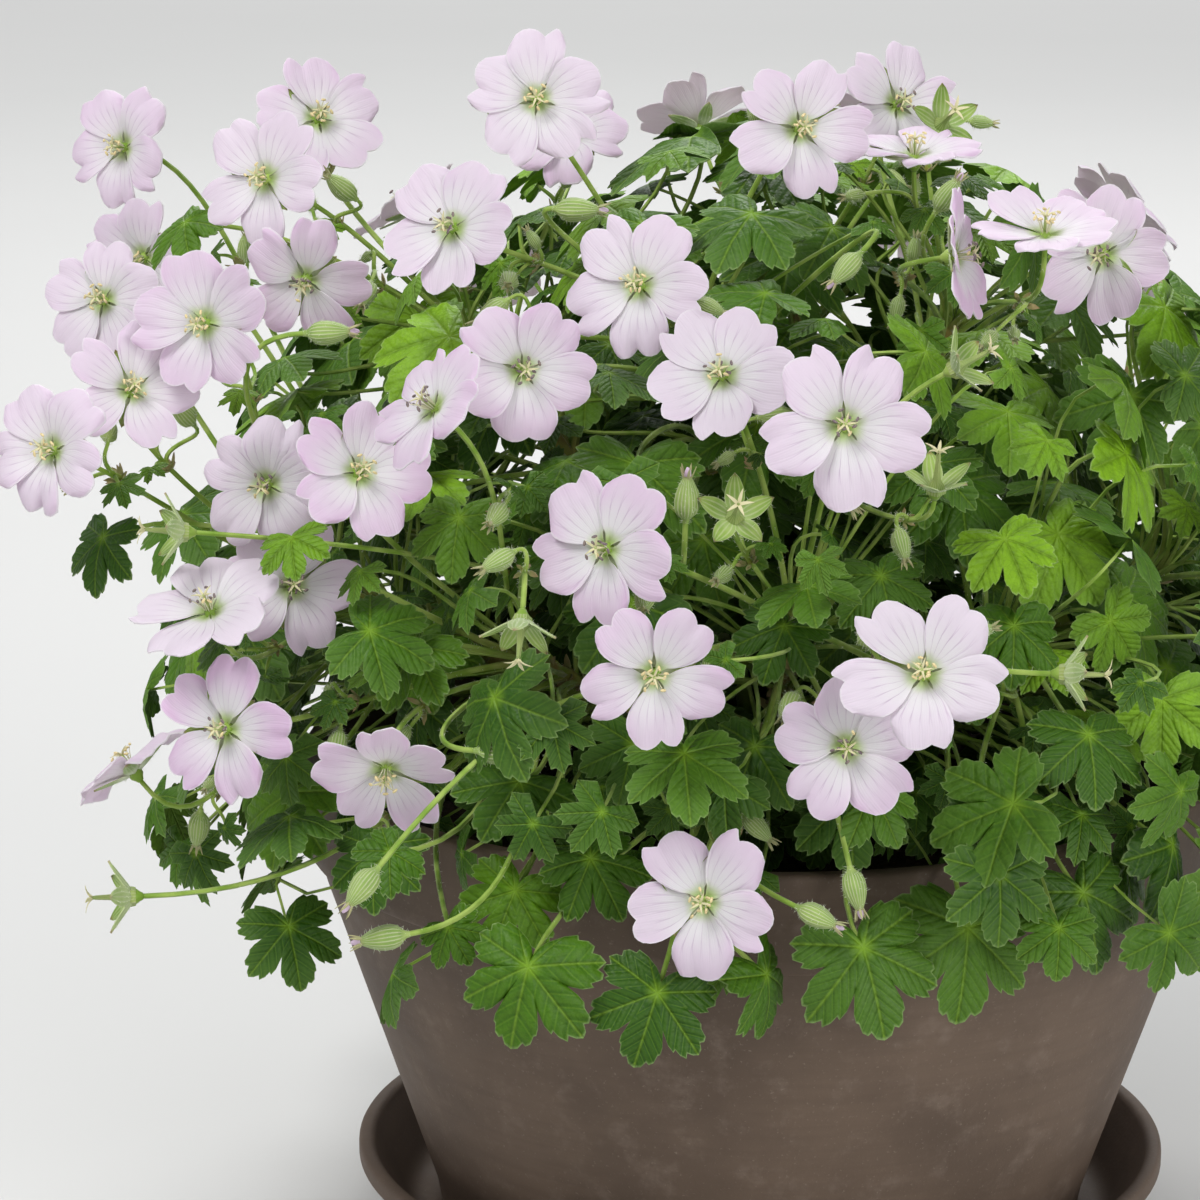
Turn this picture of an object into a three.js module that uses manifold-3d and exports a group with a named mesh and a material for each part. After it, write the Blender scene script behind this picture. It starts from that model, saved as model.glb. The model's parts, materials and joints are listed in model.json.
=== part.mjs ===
// A hardy geranium in bloom, planted in a low round pot that stands in its saucer.
// Millimetres, +Z up. The origin is the middle of the saucer's underside; the plant's best side faces -Y.
import * as THREE from "three";
import { mergeVertices } from "three/addons/utils/BufferGeometryUtils.js";
import Module from "manifold-3d";

const wasm = await Module();
wasm.setup();

// ---- driving dimensions -------------------------------------------------------------------------------

const GAP = 0.3; // running gap between pieces that touch
const SAUCER = { rim: 98, foot: 86, height: 20, wall: 3, lip: 2 };
const POT = { rim: 110, inside: 105.5, band: 23, step: 4, foot: 78, height: 115, wall: 4, floor: 6 };
const POT_BASE = SAUCER.wall + GAP;
const RIM_TOP = POT_BASE + POT.height;
const SOIL_TOP = RIM_TOP - 13;
const ROUND_SIDES = 32;
const SOIL_SIDES = 18;
const SOIL_LUMP = 1.6;
const SOIL_RINGS = [100, 76, 40];

const STEM = { foot: 1.9, tip: 1.1, sides: 4, steps: 8, bend: 0.3, first: 2, nodes: [0.3, 0.7], depth: 24 };
const STALK = { radius: 0.85, sides: 3, steps: 3, least: 8 };
const BLADE = { thick: 0.7, arch: 0.2, fold: 0.05, notch: 0.55, toothed: 15.5 };
const PETAL = { radius: 15.5, thick: 0.65, throat: 1.7, cup: 0.2, seat: 1.9 };
const BUD = { rings: [[2.6, -2.4], [2.7, 1.4]], tip: 7, reach: 4 };
const CALYX = {
  sepal: 8.6, notch: 2.7, edge: 0.35, spread: 0.17, waist: 1.15, shoulder: 1, column: 7.2, style: 10.5, reach: 7,
};

// Half of a leaf's edge, from the tip of its middle lobe round to the slit at its stalk, as [degrees,
// share of its radius]. The other half mirrors it. Large leaves have toothed lobes, small ones blunt
// lobes, and the many that fill the mound pointed lobes.
const LARGE_LEAF = [
  [0, 1], [13, 0.84], [26, 0.5], [38, 0.82], [52, 0.96], [66, 0.78],
  [79, 0.46], [92, 0.68], [110, 0.78], [140, 0.62], [180, 0.14],
];
const SMALL_LEAF = [
  [0, 1], [16, 0.8], [27, 0.5], [42, 0.9], [62, 0.88], [80, 0.48], [98, 0.72], [132, 0.68], [180, 0.14],
];
const FILL_LEAF = [[0, 1], [26, 0.52], [52, 0.96], [80, 0.48], [110, 0.78], [180, 0.14]];
// One petal about its own middle line, as [degrees, share of the bloom's radius]: notched at its tip.
const PETAL_EDGE = [[-36, 0.29], [-27, 0.94], [0, 0.9], [27, 0.94]];

// Main stems: where each stands in the soil and where it ends, as [degrees from the front towards +X,
// distance from the middle, height].
const MAIN_STEMS = [
  { foot: [0, 22], tip: [2, 86, 168] },
  { foot: [-40, 22], tip: [-36, 94, 158] },
  { foot: [-80, 24], tip: [-72, 112, 166] },
  { foot: [40, 22], tip: [36, 88, 160] },
  { foot: [80, 22], tip: [74, 96, 166] },
  { foot: [118, 24], tip: [112, 96, 162] },
  { foot: [158, 22], tip: [152, 94, 166] },
  { foot: [-158, 22], tip: [-156, 94, 160] },
  { foot: [-118, 24], tip: [-114, 104, 168] },
  { foot: [-20, 8], tip: [-24, 52, 226] },
  { foot: [-100, 9], tip: [-78, 74, 222] },
  { foot: [70, 8], tip: [58, 50, 226] },
  { foot: [165, 9], tip: [168, 48, 220] },
];

// Blooms: the middle of each face, where it faces (degrees from the front towards +X, degrees above the
// horizon), the turn of its petals and its size against an average bloom.
const BLOOMS = [
  { at: [-113, -35, 258], faces: [-25, 18], turn: 10, size: 1.0 },
  { at: [-105, 5, 266], faces: [15, 34], turn: 40, size: 1.0 },
  { at: [-155, 60, 253], faces: [-35, 12], turn: 0, size: 1.0 },
  { at: [-149, 42, 229], faces: [-30, -5], turn: 30, size: 1.0 },
  { at: [-104, -45, 238], faces: [-12, -12], turn: 20, size: 0.98 },
  { at: [-125, -60, 230], faces: [-20, 8], turn: 50, size: 1.02 },
  { at: [-143, -62, 214], faces: [18, 30], turn: 15, size: 1.0 },
  { at: [-152, -20, 228], faces: [-20, 20], turn: 35, size: 0.95 },
  { at: [-70, -70, 252], faces: [-28, 22], turn: 12, size: 1.0 },
  { at: [-53, -45, 277], faces: [0, 15], turn: 36, size: 1.0 },
  { at: [-30, -85, 242], faces: [-18, 20], turn: 8, size: 1.04 },
  { at: [-56, -93, 226], faces: [15, 12], turn: 0, size: 1.0 },
  { at: [-72, -114, 220], faces: [-58, 40], turn: 20, size: 0.98 },
  { at: [-13, -106, 226], faces: [-14, 30], turn: 10, size: 0.98 },
  { at: [11, -126, 220], faces: [0, 14], turn: 4, size: 1.12 },
  { at: [-37, -126, 194], faces: [-26, 14], turn: 6, size: 1.06 },
  { at: [-28, -134, 171], faces: [0, 8], turn: 0, size: 1.0 },
  { at: [-111, -75, 197], faces: [-14, 6], turn: 30, size: 0.98 },
  { at: [-91, -95, 203], faces: [20, 28], turn: 14, size: 1.0 },
  { at: [-122, -97, 172], faces: [-30, 60], turn: 0, size: 1.06 },
  { at: [-107, -72, 170], faces: [10, 20], turn: 20, size: 1.0 },
  { at: [-118, -106, 153], faces: [-24, 14], turn: 28, size: 1.04 },
  { at: [-141, -80, 132], faces: [-112, 50], turn: 10, size: 0.95 },
  { at: [-84, -118, 146], faces: [-4, -26], turn: 36, size: 0.98 },
  { at: [-17, -139, 122], faces: [-12, 14], turn: -2, size: 1.03 },
  { at: [12, -131, 153], faces: [0, 12], turn: 38, size: 0.98 },
  { at: [27, -146, 172], faces: [-10, 26], turn: 2, size: 1.1 },
  { at: [4, -56, 272], faces: [14, 14], turn: 6, size: 1.0 },
  { at: [31, -40, 262], faces: [0, 80], turn: 16, size: 1.0 },
  { at: [35, -82, 248], faces: [74, 10], turn: 30, size: 0.95 },
  { at: [50, -74, 251], faces: [-5, 76], turn: 0, size: 1.02 },
  { at: [72, -58, 245], faces: [-22, 4], turn: 20, size: 1.0 },
  { at: [29, 2, 270], faces: [24, 24], turn: 14, size: 0.95 },
  { at: [-157, -75, 204], faces: [-30, 20], turn: 0, size: 0.98 },
  { at: [-46, 8, 262], faces: [-10, 40], turn: 12, size: 0.9 },
];

// Leaves that show most: the middle of each blade, where it faces, the turn of its tip away from
// straight down, and its radius.
const LEAVES = [
  { at: [-56, -118, 141], faces: [-8, 48], turn: -30, radius: 16 },
  { at: [-41, -125, 129], faces: [4, 40], turn: 28, radius: 14 },
  { at: [-54, -122, 118], faces: [-6, 30], turn: -20, radius: 14 },
  { at: [-60, -128, 105], faces: [-8, 24], turn: -12, radius: 18 },
  { at: [-71, -132, 112], faces: [-20, 36], turn: 40, radius: 9 },
  { at: [-30, -127, 108], faces: [0, 22], turn: -18, radius: 16 },
  { at: [-20, -119, 94], faces: [14, 8], turn: 8, radius: 12 },
  { at: [-7, -127, 104], faces: [60, 14], turn: 8, radius: 15 },
  { at: [10, -127, 111], faces: [10, 26], turn: 12, radius: 19 },
  { at: [39, -126, 114], faces: [16, 20], turn: -8, radius: 20 },
  { at: [64, -114, 114], faces: [28, 24], turn: 10, radius: 17 },
  { at: [46, -120, 140], faces: [20, 52], turn: 24, radius: 16 },
  { at: [64, -118, 152], faces: [26, 46], turn: -10, radius: 16 },
  { at: [48, -115, 175], faces: [10, 40], turn: -6, radius: 13 },
  { at: [46, -112, 193], faces: [0, 50], turn: 20, radius: 13 },
  { at: [-6, -105, 174], faces: [-6, 44], turn: -20, radius: 13 },
  { at: [18, -102, 182], faces: [6, 40], turn: 10, radius: 14 },
  { at: [-76, -88, 165], faces: [-20, 46], turn: -16, radius: 14 },
  { at: [-83, -130, 136], faces: [-16, 50], turn: -40, radius: 10 },
  { at: [-78, -114, 124], faces: [-26, 34], turn: 6, radius: 14 },
  { at: [-113, -76, 132], faces: [-40, 30], turn: -4, radius: 18 },
  { at: [-134, -20, 246], faces: [-60, 50], turn: 0, radius: 13 },
  { at: [-105, -97, 187], faces: [-24, 52], turn: 24, radius: 10 },
  { at: [-146, -60, 186], faces: [-50, 34], turn: 8, radius: 13 },
  { at: [-82, -12, 222], faces: [-10, 40], turn: 0, radius: 18 },
];

// Nodding buds, and calyxes that have shed their petals, placed as the blooms are.
const BUDS = [
  { at: [-44, -66, 256], faces: [80, 0], size: 1.1 },
  { at: [-60, -124, 150], faces: [80, 0], size: 1.1 },
  { at: [-21, -118, 203], faces: [10, 80], size: 1.1 },
  { at: [6, -134, 116], faces: [70, -20], size: 1 },
  { at: [14, -134, 124], faces: [40, -70], size: 1 },
  { at: [-98, -72, 230], faces: [80, 4], size: 1.1 },
  { at: [14, -78, 245], faces: [-60, -40], size: 1 },
  { at: [37, -58, 258], faces: [60, 55], size: 1 },
  { at: [-88, -133, 129], faces: [-50, -40], size: 1.1 },
  { at: [-84, -136, 111], faces: [-80, -6], size: 1.1 },
];
const SPENT = [
  { at: [-11, -118, 198], faces: [4, 30], size: 1 },
  { at: [-52, -128, 185], faces: [-8, -56], size: 1 },
  { at: [31, -114, 203], faces: [8, 74], size: 1 },
  { at: [34, -108, 228], faces: [70, 30], size: 1 },
  { at: [55, -136, 170], faces: [84, 0], size: 1 },
  { at: [38, -22, 268], faces: [20, 30], size: 1 },
  { at: [-139, -98, 112], faces: [-84, 0], size: 1 },
  { at: [-127, -86, 190], faces: [-80, 6], size: 1 },
];

// The mound that the rest of the plant fills, by rule.
const MOUND = { base: 128, across: 148, up: 142, reach: 1.22 };
const MORE_BLOOMS = { tries: 40, most: 7, from: 0.97, to: 1.04 };
const MORE_LEAVES = { tries: 900, most: 52, from: 0.66, to: 0.98, first: 24, last: 15, front: 0.8 };
const SEED = 20260;
const GOLDEN_ANGLE = 137.508;

// How far apart pieces keep, and how a stalk finds its way to its main stem.
const CLEAR = { dish: 2.8, edge: 1.1, stalk: 2.6, between: 3, root: 18, pot: 2.2 };
const CORE = { radius: 3, below: 6, above: 8 };
const DISH_RINGS = [[1, 18], [0.55, 9]];
const STEP_LENGTH = 3;
const MOVE = { step: 3, inwards: 0.49, shown: 12, hidden: 3 };
const ROOT_COST = { drop: 0.7, slack: 6, turn: 16, used: 5 };
const ROOTS_TRIED = 5;
const PULLS = [0.36, 0.2, 0.5];
const NECK = { leaf: 0.7, bloom: 1.2, spent: 1.2, bud: 5 };
const LEAF_ARRIVAL = 0.9;

// ---- small helpers ------------------------------------------------------------------------------------

const DEG = Math.PI / 180;
const v3 = (x, y, z) => new THREE.Vector3(x, y, z);
const UP = v3(0, 0, 1);

// Draws between 0 and 1, the same on every run.
let drawState = SEED;
function draw() {
  drawState = (Math.imul(drawState, 1664525) + 1013904223) >>> 0;
  return drawState / 4294967296;
}

// A direction from degrees round from the front (-Y) towards +X, and degrees above the horizon.
function heading([round, above]) {
  const flat = Math.cos(above * DEG);
  return v3(Math.sin(round * DEG) * flat, -Math.cos(round * DEG) * flat, Math.sin(above * DEG));
}

// A point from degrees round from the front, distance from the middle and height.
function around(round, far, height) {
  return v3(Math.sin(round * DEG) * far, -Math.cos(round * DEG) * far, height);
}

// The axes of a piece that faces n: its tip points as nearly down as it can, then turns about n.
function axesFacing(n, turn) {
  const down = n.z > 0.95 ? v3(n.x, n.y, -0.2) : UP.clone().negate();
  const tip = down.addScaledVector(n, -down.dot(n)).normalize().applyAxisAngle(n, turn * DEG);
  return { n, tip, side: n.clone().cross(tip) };
}

// A point of a piece's own space: x towards its tip, y to its side, z the way it faces.
function local({ at, axes }, x, y, z) {
  const p = at.clone().addScaledVector(axes.tip, x);
  return p.addScaledVector(axes.side, y).addScaledVector(axes.n, z);
}

// Points about every STEP_LENGTH along a line of straight stretches.
function along(corners) {
  const points = [];
  for (let i = 1; i < corners.length; i++) {
    const count = Math.ceil(corners[i - 1].distanceTo(corners[i]) / STEP_LENGTH);
    for (let j = 0; j < count; j++) points.push(corners[i - 1].clone().lerp(corners[i], j / count));
  }
  return points;
}

// ---- where everything grows ---------------------------------------------------------------------------

const stems = MAIN_STEMS.map(({ foot, tip }) => {
  const low = around(foot[0], foot[1], SOIL_TOP);
  const high = around(...tip);
  const bend = low.clone().lerp(high, STEM.bend).addScaledVector(UP, (high.z - low.z) * STEM.bend);
  const corners = new THREE.QuadraticBezierCurve3(low, bend, high).getPoints(STEM.steps);
  const nodes = [];
  for (let i = STEM.first; i < STEM.steps; i++)
    for (const share of STEM.nodes) {
      const grows = corners[i + 1].clone().sub(corners[i]).normalize();
      nodes.push({ at: corners[i].clone().lerp(corners[i + 1], share), grows, used: 0 });
    }
  return { corners, nodes, placed: [] };
});

const heads = []; // every leaf, bloom, bud and calyx, as a shallow dish
const routes = stems.map((stem) => ({ stem, points: along(stem.corners.slice(1)) }));

// How far a dish's surface stands off its middle plane at a distance r from its middle.
function dishHeight({ kind, radius }, r) {
  if (kind === "leaf") return (-BLADE.arch * r * r) / radius;
  return kind === "bloom" ? PETAL.seat + PETAL.cup * (r - PETAL.throat) : 0;
}

function dishPoints(dish) {
  const points = [dish.at.clone()];
  for (const [share, count] of DISH_RINGS)
    for (let i = 0; i < count; i++) {
      const turn = (i / count) * 2 * Math.PI;
      const r = dish.radius * share;
      points.push(local(dish, r * Math.cos(turn), r * Math.sin(turn), dishHeight(dish, r)));
    }
  return points;
}

function inDish(p, dish, margin) {
  const d = p.clone().sub(dish.at);
  const off = d.dot(dish.axes.n);
  const r = Math.sqrt(Math.max(0, d.lengthSq() - off * off));
  if (r < CORE.radius && off > -CORE.below && off < CORE.above) return true;
  return r < dish.radius + CLEAR.edge && Math.abs(off - dishHeight(dish, r)) < margin;
}

function potWall(z) {
  if (z > RIM_TOP - POT.band) return POT.rim;
  return POT.foot + ((POT.rim - POT.step - POT.foot) * (z - POT_BASE)) / (POT.height - POT.band);
}

function hitsPot(p, margin) {
  const far = Math.hypot(p.x, p.y);
  if (far < POT.inside - margin) return p.z < SOIL_TOP + margin;
  return p.z < RIM_TOP + margin && far < potWall(p.z) + margin;
}

const near = (p, q, limit) => p.distanceToSquared(q) < limit * limit;

function dishesMeet(a, b) {
  if (!near(a.at, b.at, a.radius + b.radius + CLEAR.dish)) return false;
  return a.edge.some((p) => inDish(p, b, CLEAR.dish)) || b.edge.some((p) => inDish(p, a, CLEAR.dish));
}

// True if a dish keeps clear of the pot and of every dish and stalk placed before it.
function dishFits(dish) {
  if (dish.edge.some((p) => hitsPot(p, CLEAR.pot))) return false;
  if (heads.some((other) => dishesMeet(dish, other))) return false;
  return !routes.some(({ points }) => points.some((p) => inDish(p, dish, CLEAR.stalk)));
}

// True if a stalk keeps clear of them too, save near its root on its own main stem.
function stalkFits(points, stem) {
  if (points.some((p) => hitsPot(p, CLEAR.pot))) return false;
  if (heads.some((other) => points.some((p) => inDish(p, other, CLEAR.stalk)))) return false;
  const outer = points.filter((p) => !near(p, points[0], CLEAR.root));
  const meets = (route) => (p) => route.points.some((q) => near(p, q, CLEAR.between));
  return !routes.some((route) => (route.stem === stem ? outer : points).some(meets(route)));
}

// The node of a main stem that a stalk to a point should leave from, with what it costs.
function bestRoot(stem, end) {
  let best = null;
  for (const node of stem.nodes) {
    const way = end.clone().sub(node.at);
    const long = way.length();
    const turn = 1 - node.grows.dot(way) / long;
    const drop = Math.max(0, node.at.z - end.z + ROOT_COST.slack);
    const cost = long + ROOT_COST.drop * drop + ROOT_COST.turn * turn + ROOT_COST.used * node.used;
    if (best && cost >= best.cost) continue;
    best = { cost, stem, node, long, leaving: way.divideScalar(long).add(node.grows).normalize() };
  }
  return best;
}

// Where a stalk ends: a leaf's comes in from the slit at its base, the others' straight up behind.
function arrival({ kind, axes }) {
  if (kind !== "leaf") return axes.n.clone();
  return axes.tip.clone().addScaledVector(axes.n, LEAF_ARRIVAL).normalize();
}

function stalkTo(root, end, arriving, pull) {
  const from = root.node.at;
  const first = from.clone().addScaledVector(root.leaving, root.long * pull);
  const last = end.clone().addScaledVector(arriving, -root.long * pull);
  return new THREE.CubicBezierCurve3(from, first, last, end).getPoints(STALK.steps);
}

// Puts one piece on a near main stem that a clear stalk can reach, moving it a little if it must.
function place(kind, item, radius, moves) {
  const axes = axesFacing(heading(item.faces), item.turn ?? 0);
  const size = item.size ?? 1;
  const neck = NECK[kind] * (kind === "bud" ? size : 1);
  for (const move of moves) {
    const at = v3(...item.at).add(move);
    const dish = { kind, at, axes, radius, size, fills: item.fills };
    dish.edge = dishPoints(dish);
    if (!dishFits(dish)) continue;
    const end = at.clone().addScaledVector(axes.n, -neck);
    const roots = stems.map((stem) => bestRoot(stem, end)).sort((a, b) => a.cost - b.cost);
    for (const root of roots.slice(0, ROOTS_TRIED))
      for (const pull of PULLS) {
        const corners = stalkTo(root, end, arrival(dish), pull);
        const points = along(corners).slice(1, -1);
        if (root.long < STALK.least || !stalkFits(points, root.stem)) continue;
        root.node.used++;
        root.stem.placed.push({ ...dish, corners });
        heads.push(dish);
        routes.push({ stem: root.stem, points });
        return dish;
      }
  }
  return null;
}

// Small moves over a grid, nearest first, out to a distance. Moves along Y come cheaper.
function movesWithin(far) {
  const moves = [];
  const count = Math.floor(far / MOVE.step);
  for (let x = -count; x <= count; x++)
    for (let y = -count; y <= count; y++)
      for (let z = -count; z <= count; z++) {
        const cost = x * x + MOVE.inwards * y * y + z * z;
        if (cost <= count * count) moves.push({ cost, move: v3(x, y, z).multiplyScalar(MOVE.step) });
      }
  return moves.sort((a, b) => a.cost - b.cost).map(({ move }) => move);
}

const bloomRadius = (item) => PETAL.radius * item.size;
const shownMoves = movesWithin(MOVE.shown);
BLOOMS.forEach((item) => place("bloom", item, bloomRadius(item), shownMoves));
LEAVES.forEach((item) => place("leaf", item, item.radius, shownMoves));
BUDS.forEach((item) => place("bud", item, BUD.reach, shownMoves));
SPENT.forEach((item) => place("spent", item, CALYX.reach, shownMoves));

// The k-th point of a golden spiral from the mound's top down to below the rim, at a share of its depth.
function onMound(k, count, share) {
  const drop = Math.acos(1 - (MOUND.reach * (k + 0.5)) / count);
  const round = k * GOLDEN_ANGLE;
  const height = MOUND.base + Math.cos(drop) * MOUND.up * share;
  return { at: around(round, Math.sin(drop) * MOUND.across * share, height), round, above: 90 - drop / DEG };
}

const hiddenMoves = movesWithin(MOVE.hidden);

function fillBlooms({ tries, most, from, to }) {
  for (let k = 0, made = 0; k < tries && made < most; k++) {
    const { at, round, above } = onMound(k, tries, from + (to - from) * draw());
    const faces = [round + 30 * (draw() - 0.5), above * 0.7 + 20 * draw()];
    const item = { at: at.toArray(), faces, turn: 72 * draw(), size: 0.96 + 0.1 * draw() };
    const hidden = at.y > 12 && at.z > RIM_TOP + 20;
    if (hidden && place("bloom", item, bloomRadius(item), hiddenMoves)) made++;
  }
}

// The leaves grow smaller as the mound fills, and stay smaller in front.
function fillLeaves({ tries, most, from, to, first, last, front }) {
  for (let k = 0, made = 0; k < tries && made < most; k++) {
    const { at, round, above } = onMound((k * 7) % tries, tries, from + (to - from) * draw());
    const faces = [round + 50 * (draw() - 0.5), 25 + above * 0.5 + 20 * (draw() - 0.5)];
    const item = { at: at.toArray(), faces, turn: 70 * (draw() - 0.5), fills: true };
    const radius = (first + ((last - first) * k) / tries) * (at.y < 0 ? front : 1);
    if (place("leaf", item, radius, hiddenMoves)) made++;
  }
}

fillBlooms(MORE_BLOOMS);
fillLeaves(MORE_LEAVES);

// ---- solids -------------------------------------------------------------------------------------------

// A closed skin, built up from rings of points that run anticlockwise seen from where the skin ends.
class Skin {
  points = [];
  faces = [];

  ring(points) {
    const first = this.points.length;
    this.points.push(...points);
    return points.map((_, i) => first + i);
  }

  wall(low, high) {
    low.forEach((a, i) => {
      const j = (i + 1) % low.length;
      this.faces.push([a, low[j], high[j]], [a, high[j], high[i]]);
    });
  }

  // Joins two rings with unlike counts, given each point's turn in degrees. Ties go to one of the rings.
  zip(low, lowTurns, high, highTurns, tie = 0.01) {
    const turnOf = (turns, i) => turns[i % turns.length] + (i < turns.length ? 0 : 360);
    for (let i = 0, j = 0; i < low.length || j < high.length; ) {
      const a = low[i % low.length];
      const b = high[j % high.length];
      const raised = i === low.length || turnOf(highTurns, j + 1) <= turnOf(lowTurns, i + 1) + tie;
      if (j < high.length && raised) this.faces.push([a, high[++j % high.length], b]);
      else this.faces.push([a, low[++i % low.length], b]);
    }
  }

  close(ring, point) {
    const [tip] = this.ring([point]);
    ring.forEach((a, i) => this.faces.push([a, ring[(i + 1) % ring.length], tip]));
  }

  cap(ring) {
    for (let i = 1; i < ring.length - 1; i++) this.faces.push([ring[0], ring[i + 1], ring[i]]);
  }

  geometry() {
    const g = new THREE.BufferGeometry().setFromPoints(this.points);
    return g.setIndex(this.faces.flat());
  }
}

// A closed three.js geometry as a solid.
function solidFrom(geometry) {
  const bare = geometry.clone();
  bare.deleteAttribute("normal");
  bare.deleteAttribute("uv");
  const merged = mergeVertices(bare, 1e-4);
  const vertProperties = merged.attributes.position.array;
  const mesh = new wasm.Mesh({ numProp: 3, vertProperties, triVerts: new Uint32Array(merged.index.array) });
  return new wasm.Manifold(mesh);
}

function geometryOf(made) {
  const mesh = made.getMesh();
  const g = new THREE.BufferGeometry();
  g.setAttribute("position", new THREE.BufferAttribute(new Float32Array(mesh.vertProperties), 3));
  return g.setIndex(new THREE.BufferAttribute(new Uint32Array(mesh.triVerts), 1));
}

// Turns a closed profile of [radius, height] about Z.
function turned(profile, sides) {
  const geometry = new THREE.LatheGeometry(profile.map(([r, z]) => new THREE.Vector2(r, z)), sides);
  return solidFrom(geometry.rotateX(Math.PI / 2));
}

const evenTurns = (count) => Array.from({ length: count }, (_, i) => (i * 360) / count);

// The rings of a stalk along its corners. Its last ring lies in the plane of what it carries.
function stalkRings(corners, axes, radii, sides) {
  const last = corners.length - 1;
  const rings = [];
  let across = axes.tip.clone();
  for (let i = last; i >= 0; i--) {
    const next = corners[Math.min(i + 1, last)];
    const t = i === last ? axes.n : next.clone().sub(corners[Math.max(i - 1, 0)]).normalize();
    across = across.addScaledVector(t, -across.dot(t)).normalize();
    const beside = t.clone().cross(across);
    rings.unshift(evenTurns(sides).map((turn) => {
      const p = corners[i].clone().addScaledVector(across, radii[i] * Math.cos(turn * DEG));
      return p.addScaledVector(beside, radii[i] * Math.sin(turn * DEG));
    }));
  }
  return rings;
}

// A skin that starts as the stalk of a placed piece, and the ring that its head goes on from.
function startStalk({ corners, axes }) {
  const skin = new Skin();
  const radii = corners.map(() => STALK.radius);
  const rings = stalkRings(corners, axes, radii, STALK.sides).map((ring) => skin.ring(ring));
  skin.cap(rings[0]);
  for (let i = 1; i < rings.length; i++) skin.wall(rings[i - 1], rings[i]);
  return { skin, neck: rings.at(-1), turns: evenTurns(STALK.sides) };
}

// A palmate leaf: an arched blade, fanned about the top of its stalk and folded down along each lobe.
function leaf(placed) {
  const { skin, neck, turns } = startStalk(placed);
  const { radius, fills } = placed;
  const shown = radius > BLADE.toothed ? LARGE_LEAF : SMALL_LEAF;
  const half = fills ? FILL_LEAF : shown;
  const mirrored = half.slice(1, -1).map(([turn, far]) => [360 - turn, far]).reverse();
  const edge = [...half, ...mirrored];
  const at = (drop) => edge.map(([turn, far]) => {
    const r = radius * far;
    const fold = radius * BLADE.fold * (far < BLADE.notch ? 1 : -far);
    return local(placed, r * Math.cos(turn * DEG), r * Math.sin(turn * DEG), dishHeight(placed, r) + fold - drop);
  });
  const [below, above] = [skin.ring(at(BLADE.thick)), skin.ring(at(0))];
  skin.zip(neck, turns, below, edge.map(([turn]) => turn));
  skin.wall(below, above);
  skin.close(above, placed.at.clone());
  return skin;
}

// Five pointed sepals round a central column of stamens and style.
function calyx(placed, column) {
  const { skin, neck, turns } = startStalk(placed);
  const edgeTurns = evenTurns(10);
  const star = skin.ring(edgeTurns.map((turn, i) => {
    const r = i % 2 ? CALYX.sepal : CALYX.notch;
    const z = CALYX.edge + CALYX.spread * (r - CALYX.notch);
    return local(placed, r * Math.cos(turn * DEG), r * Math.sin(turn * DEG), z);
  }));
  const waist = skin.ring(evenTurns(5).map((turn) => {
    const r = CALYX.waist;
    return local(placed, r * Math.cos(turn * DEG), r * Math.sin(turn * DEG), CALYX.shoulder);
  }));
  skin.zip(neck, turns, star, edgeTurns);
  skin.zip(star, edgeTurns, waist, evenTurns(5));
  skin.close(waist, local(placed, 0, 0, column));
  return skin;
}

// A spindle of folded sepals.
function bud(placed) {
  const { skin, neck, turns } = startStalk(placed);
  const rings = BUD.rings.map(([r, z]) => skin.ring(evenTurns(5).map((turn) => {
    const far = r * placed.size;
    return local(placed, far * Math.cos(turn * DEG), far * Math.sin(turn * DEG), z * placed.size);
  })));
  skin.zip(neck, turns, rings[0], evenTurns(5));
  skin.wall(rings[0], rings[1]);
  skin.close(rings[1], local(placed, 0, 0, BUD.tip * placed.size));
  return skin;
}

// Five notched petals in one shallow cup with a five-sided throat.
function corolla(placed) {
  const skin = new Skin();
  const { radius } = placed;
  const edge = evenTurns(5).flatMap((petal) => PETAL_EDGE.map(([turn, far]) => [petal + turn, radius * far]));
  const throat = evenTurns(5).map((petal) => [petal + PETAL_EDGE[0][0], PETAL.throat]);
  const at = (list, drop) => skin.ring(list.map(([turn, r]) =>
    local(placed, r * Math.cos(turn * DEG), r * Math.sin(turn * DEG), dishHeight(placed, r) - drop)));
  const turnsOf = (list) => list.map(([turn]) => turn);
  const [throatBelow, below] = [at(throat, PETAL.thick), at(edge, PETAL.thick)];
  const [above, throatAbove] = [at(edge, 0), at(throat, 0)];
  skin.zip(throatBelow, turnsOf(throat), below, turnsOf(edge), -0.01);
  skin.wall(below, above);
  skin.zip(above, turnsOf(edge), throatAbove, turnsOf(throat));
  skin.wall(throatAbove, throatBelow);
  return skin;
}

const GROW = {
  leaf,
  bud,
  bloom: (placed) => calyx(placed, CALYX.column),
  spent: (placed) => calyx(placed, CALYX.style),
};

// A main stem with everything that grows on it, and its foot down in the soil.
function leafyStem(stem) {
  const skin = new Skin();
  const corners = [stem.corners[0].clone().addScaledVector(UP, -STEM.depth), ...stem.corners];
  const radii = corners.map((_, i) => STEM.foot + ((STEM.tip - STEM.foot) * i) / (corners.length - 1));
  const axes = axesFacing(corners.at(-1).clone().sub(corners.at(-2)).normalize(), 0);
  const rings = stalkRings(corners, axes, radii, STEM.sides).map((ring) => skin.ring(ring));
  skin.cap(rings[0]);
  for (let i = 1; i < rings.length; i++) skin.wall(rings[i - 1], rings[i]);
  skin.cap([...rings.at(-1)].reverse());
  const skins = [skin, ...stem.placed.map((piece) => GROW[piece.kind](piece))];
  return wasm.Manifold.union(skins.map((one) => solidFrom(one.geometry())));
}

// ---- pot, saucer and soil -----------------------------------------------------------------------------

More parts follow.
